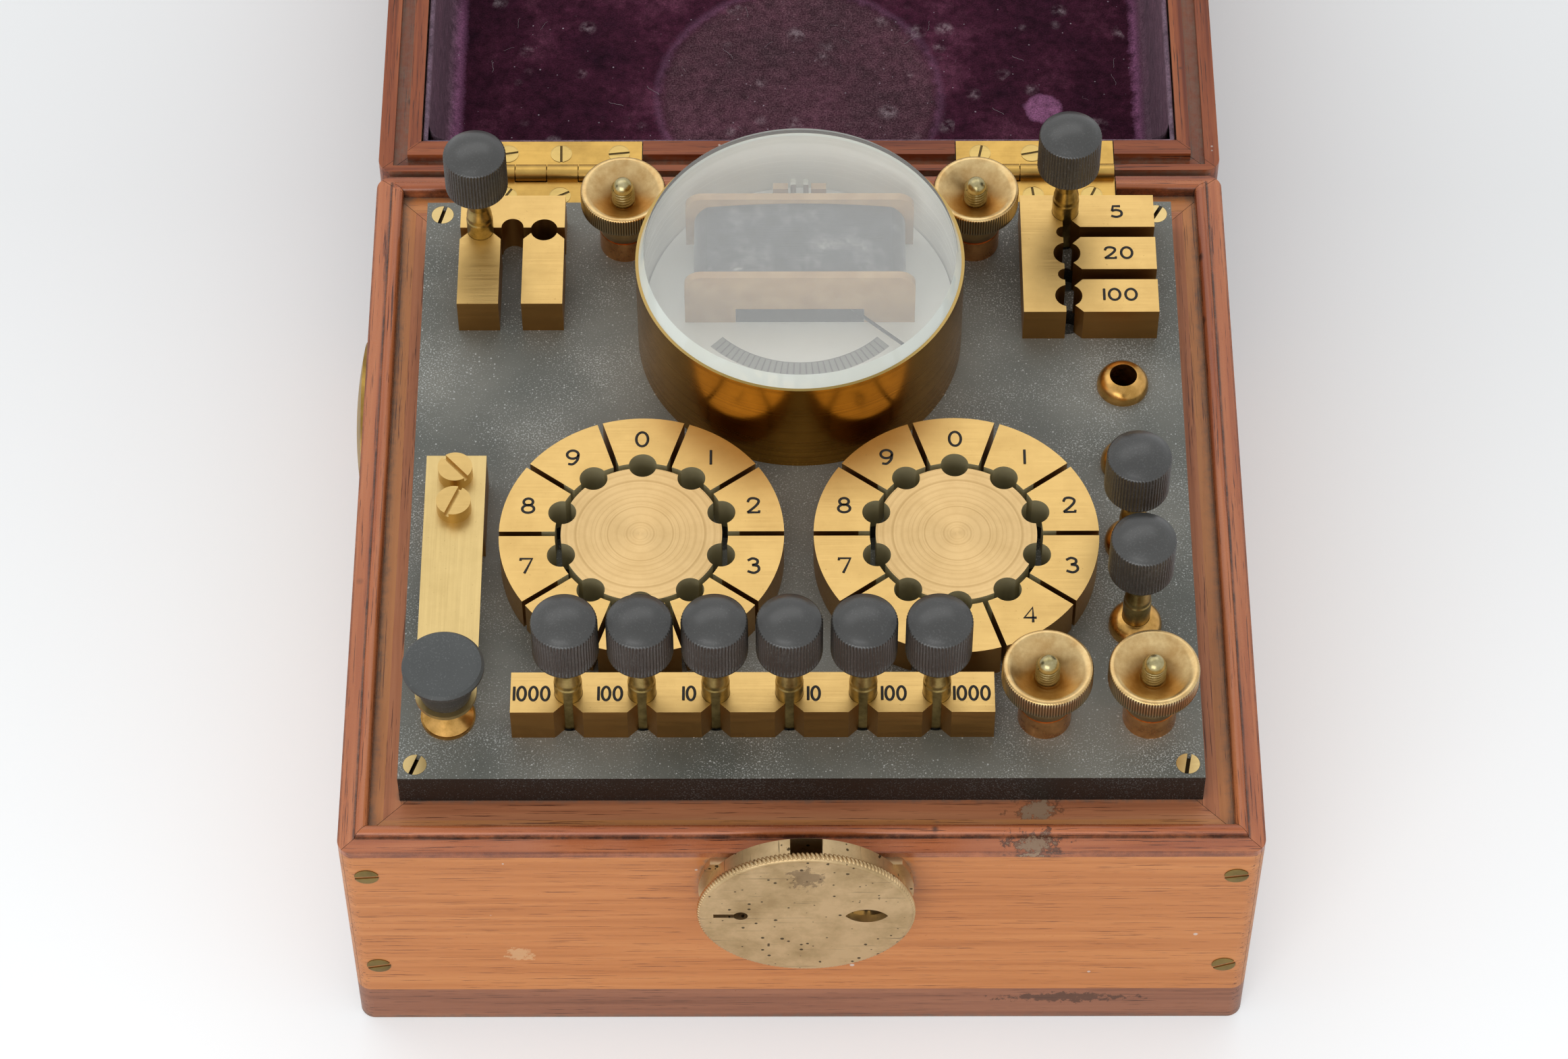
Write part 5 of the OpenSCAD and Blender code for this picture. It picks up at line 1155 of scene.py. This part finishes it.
thread = {"turns": 5.6, "steps": 28, "pitch": 0.9 * mm, "radius": 2.4 * mm, "thick": 0.3 * mm, "low": 15.7 * mm}
threadCorners, threadFaces = [], []
for number in range(1, 5):
    at = middle(f"terminal_nut_{number}")
    start = len(threadCorners)
    count = int(thread["turns"] * thread["steps"])
    for i in range(count + 1):
        angle = 2 * math.pi * i / thread["steps"]
        height = panelTop + thread["low"] + thread["pitch"] * i / thread["steps"]
        for out, up in ((-1, -0.9), (1, 0), (-1, 0.9)):
            r = thread["radius"] + out * thread["thick"]
            place = (at.x + r * math.cos(angle), at.y + r * math.sin(angle), height + up * thread["thick"])
            threadCorners.append(place)
    for i in range(count):
        a = start + 3 * i
        for k in (0, 1):
            threadFaces.append((a + k, a + 3 + k, a + 4 + k, a + 1 + k))
newPiece("studThreads", meshFrom("studThreads", threadCorners, threadFaces), postBronze, "case")


# Inside the galvanometer

def block(corners, low, high):
    # adds the eight corners of a plain block to the list, and gives its six faces
    start = len(corners)
    corners += [(x, y, z) for z in (low[2], high[2]) for x, y in (
        (low[0], low[1]), (high[0], low[1]), (high[0], high[1]), (low[0], high[1])
    )]
    return [tuple(start + i for i in face) for face in (
        (3, 2, 1, 0), (4, 5, 6, 7), (0, 1, 5, 4), (1, 2, 6, 5), (2, 3, 7, 6), (3, 0, 4, 7)
    )]


# painted shade: the coil's inside is dark, so a thin black sheet lies on the card in its tunnel as the shade
# there
tunnel = {"half": 14.75 * mm, "low": 0.02 * mm, "high": 0.2 * mm, "inset": 0.05 * mm}
silkLow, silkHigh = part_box("galvo_winding")
tunnelCorners = []
tunnelFaces = block(
    tunnelCorners, (-tunnel["half"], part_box("galvo_frame")[0].y + tunnel["inset"], silkLow.z + tunnel["low"]),
    (tunnel["half"], silkHigh.y, silkLow.z + tunnel["high"])
)
# the sheet's black is painted shade
tunnelSilk = plainFinish("tunnelShadeBlack", "#3A3B3E", "#26272A", 900.0, 0.8)
tunnelMesh = meshFrom("tunnelSilk", tunnelCorners, tunnelFaces, smooth=False)
newPiece("tunnelSilk", tunnelMesh, tunnelSilk, "case")

# the lifter's bracket: two silver pillars between two fibre feet, on the card behind the coil
lifter = {"y": 70.4 * mm, "deep": 0.9 * mm, "Pillar": (0.85, 2.1, 10.6), "Foot": (2.7, 6.2, 9.0)}
for part, material, slot in (("Pillar", silver, "silver"), ("Foot", boxwood, "boxwood")):
    near, far, tall = (value * mm for value in lifter[part])
    lifterCorners, lifterFaces = [], []
    for left, right in ((-far, -near), (near, far)):
        lifterFaces += block(
            lifterCorners, (left, lifter["y"] - lifter["deep"], silkLow.z),
            (right, lifter["y"] + lifter["deep"], silkLow.z + tall)
        )
    name = f"lifter{part}s"
    newPiece(name, meshFrom(name, lifterCorners, lifterFaces, smooth=False), material, "case")
print("lock, threads and bracket done")


# Lint: fine curled fibres on the velvet and on the panel

def fibre(name, length, thick, curl, seed):
    # a curled hair of 14 short lengths with three sides, arched a little off the floor
    random.seed(seed)
    corners, faces = [], []
    heading, x, y = 0.0, 0.0, 0.0
    count = 14
    for i in range(count + 1):
        for k in range(3):
            angle = 2 * math.pi * k / 3
            corners.append((
                x - thick * math.cos(angle) * math.sin(heading), y + thick * math.cos(angle) * math.cos(heading),
                thick + thick * math.sin(angle) + 0.03 * length * math.sin(math.pi * i / count)
            ))
        heading += random.uniform(-curl, curl)
        x += length / count * math.cos(heading)
        y += length / count * math.sin(heading)
    for i in range(count):
        for k in range(3):
            a, b = i * 3 + k, i * 3 + (k + 1) % 3
            faces.append((a, b, b + 3, a + 3))
    return meshFrom(name, corners, faces)


def scatter(count, spanX, spanY, height, lean=0.0):
    # random places over a rectangle given in mm, each with a random turn
    return [
        ((random.uniform(*spanX) * mm, random.uniform(*spanY) * mm, height),
         (lean, 0, random.uniform(0, 2 * math.pi)))
        for _ in range(count)
    ]


lintGrey = plainFinish("greyLint", "#C9C2C4", "#A79CA2", 900.0, 0.9)
fibreShape = fibre("lintFibre", 3.2 * mm, 0.03 * mm, 0.5, 11)
random.seed(23)
velvetLint = scatter(90, (-86, 86), (113, 268), innerLow.z + 0.05 * mm)
velvetLint += scatter(60, (-80, 80), (109, 118), innerLow.z + 0.4 * mm, 0.3)  # more gathers in the front cove
repeat("velvetLint", fibreShape, velvetLint, lintGrey, "lid", (0.4, 1.5), 5)
panelLint = scatter(46, (-86, 86), (-78, 79), panelTop + 0.02 * mm)
repeat("panelLint", fibreShape, panelLint, lintGrey, "case", (0.3, 0.9), 9)
print("lint done")


# Stage: floor, light and camera

floorMesh = meshFrom("paleFloor", [(-3, -3, 0), (3, -3, 0), (3, 3, 0), (-3, 3, 0)], [(0, 1, 2, 3)], smooth=False)
floorPiece = newObject("paleFloor", floorMesh)
floorFinish, floorTree, floorShader, floorCoords = newMaterial(
    "paleBackground", Roughness=0.8, Specular_IOR_Level=0.1, Emission_Color=linear("#F6FAFC")
)
floorNoise = add(floorTree, "TexNoise", {"Vector": floorCoords, "Scale": 2.0, "Detail": 2.0})
floorTone = add(floorTree, "ValToRGB", {0: floorNoise}, stops=[(0.3, "#EDEFEF"), (0.7, "#F1F2F2")])
feed(floorShader, {"Base Color": floorTone})
# the paper glows a little towards the camera, least at the back, so that it photographs near white
backward = add(floorTree, "SeparateXYZ", {0: floorCoords}).outputs[1]
glow = add(
    floorTree, "MapRange", {"Value": backward, "From Min": -0.28, "From Max": 0.15, "To Min": 0.4, "To Max": 0.1}
)
seenDirectly = add(floorTree, "LightPath").outputs["Is Camera Ray"]
feed(floorShader, {"Emission Strength": add(floorTree, "Math", {0: glow, 1: seenDirectly}, operation="MULTIPLY")})
floorMesh.materials.append(floorFinish)
floorPiece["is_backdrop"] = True

world = bpy.data.worlds.new("paleRoom")
bpy.context.scene.world = world
world.use_nodes = True
room = world.node_tree
lighting = room.nodes["Background"]
feed(lighting, {"Color": linear("#F4F6F8"), "Strength": 0.74})
roomPath = add(room, "LightPath")
mirrored = add(room, "Background", {"Color": linear("#F4F6F8"), "Strength": 0.78})
backdrop = add(room, "Background", {"Color": linear("#F1F3F4"), "Strength": 1.0})
glossyMix = add(room, "MixShader", {0: roomPath.outputs["Is Glossy Ray"], 1: lighting, 2: mirrored})
seen = add(
    room, "Math", {0: roomPath.outputs["Is Camera Ray"], 1: roomPath.outputs["Is Transmission Ray"]},
    operation="MAXIMUM"
)
roomMix = add(room, "MixShader", {0: seen, 1: glossyMix, 2: backdrop})
feed(room.nodes["World Output"], {"Surface": roomMix})


def softLamp(name, place, target, size, power, colour="#FFFFFF"):
    lamp = bpy.data.lights.new(name, "AREA")
    lamp.shape = "RECTANGLE"
    lamp.size, lamp.size_y = size
    lamp.energy = power
    lamp.color = linear(colour)[:3]
    holder = newObject(name, lamp)
    holder.location = place
    holder.rotation_euler = (Vector(target) - Vector(place)).to_track_quat("-Z", "Y").to_euler()


softLamp("skyPanel", (-0.25, 0.95, 1.55), (0, 0.0, 0.08), (2.6, 1.1), 5.5)
softLamp("frontPanel", (-0.5, -1.7, 0.9), (0, 0, 0.05), (1.5, 1.1), 11)

# the camera as it was fitted to the photo: turns in degrees, place in mm
view = {"lens": 109.77, "pitch": 55.019, "yaw": -0.043, "roll": -0.128, "place": (-3.274, -635.541, 968.529)}
camera = bpy.data.cameras.new("photoCamera")
camera.lens = view["lens"]
camera.sensor_width = 36.0
camera.clip_start, camera.clip_end = 0.05, 20
cameraPiece = newObject("photoCamera", camera)
pitch, yaw, roll = (math.radians(view[angle]) for angle in ("pitch", "yaw", "roll"))
forward = Vector((math.sin(yaw) * math.cos(pitch), math.cos(yaw) * math.cos(pitch), -math.sin(pitch)))
right = Vector((math.cos(yaw), -math.sin(yaw), 0))
upward = right.cross(forward)
rolledRight = math.cos(roll) * right + math.sin(roll) * upward
rolledUp = -math.sin(roll) * right + math.cos(roll) * upward
cameraTurn = Matrix((rolledRight, rolledUp, -forward)).transposed().to_4x4()
cameraPiece.matrix_world = Matrix.Translation(Vector(view["place"]) * mm) @ cameraTurn
bpy.context.scene.camera = cameraPiece
bpy.context.scene.view_settings.view_transform = "Standard"
print("stage done")

low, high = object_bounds()
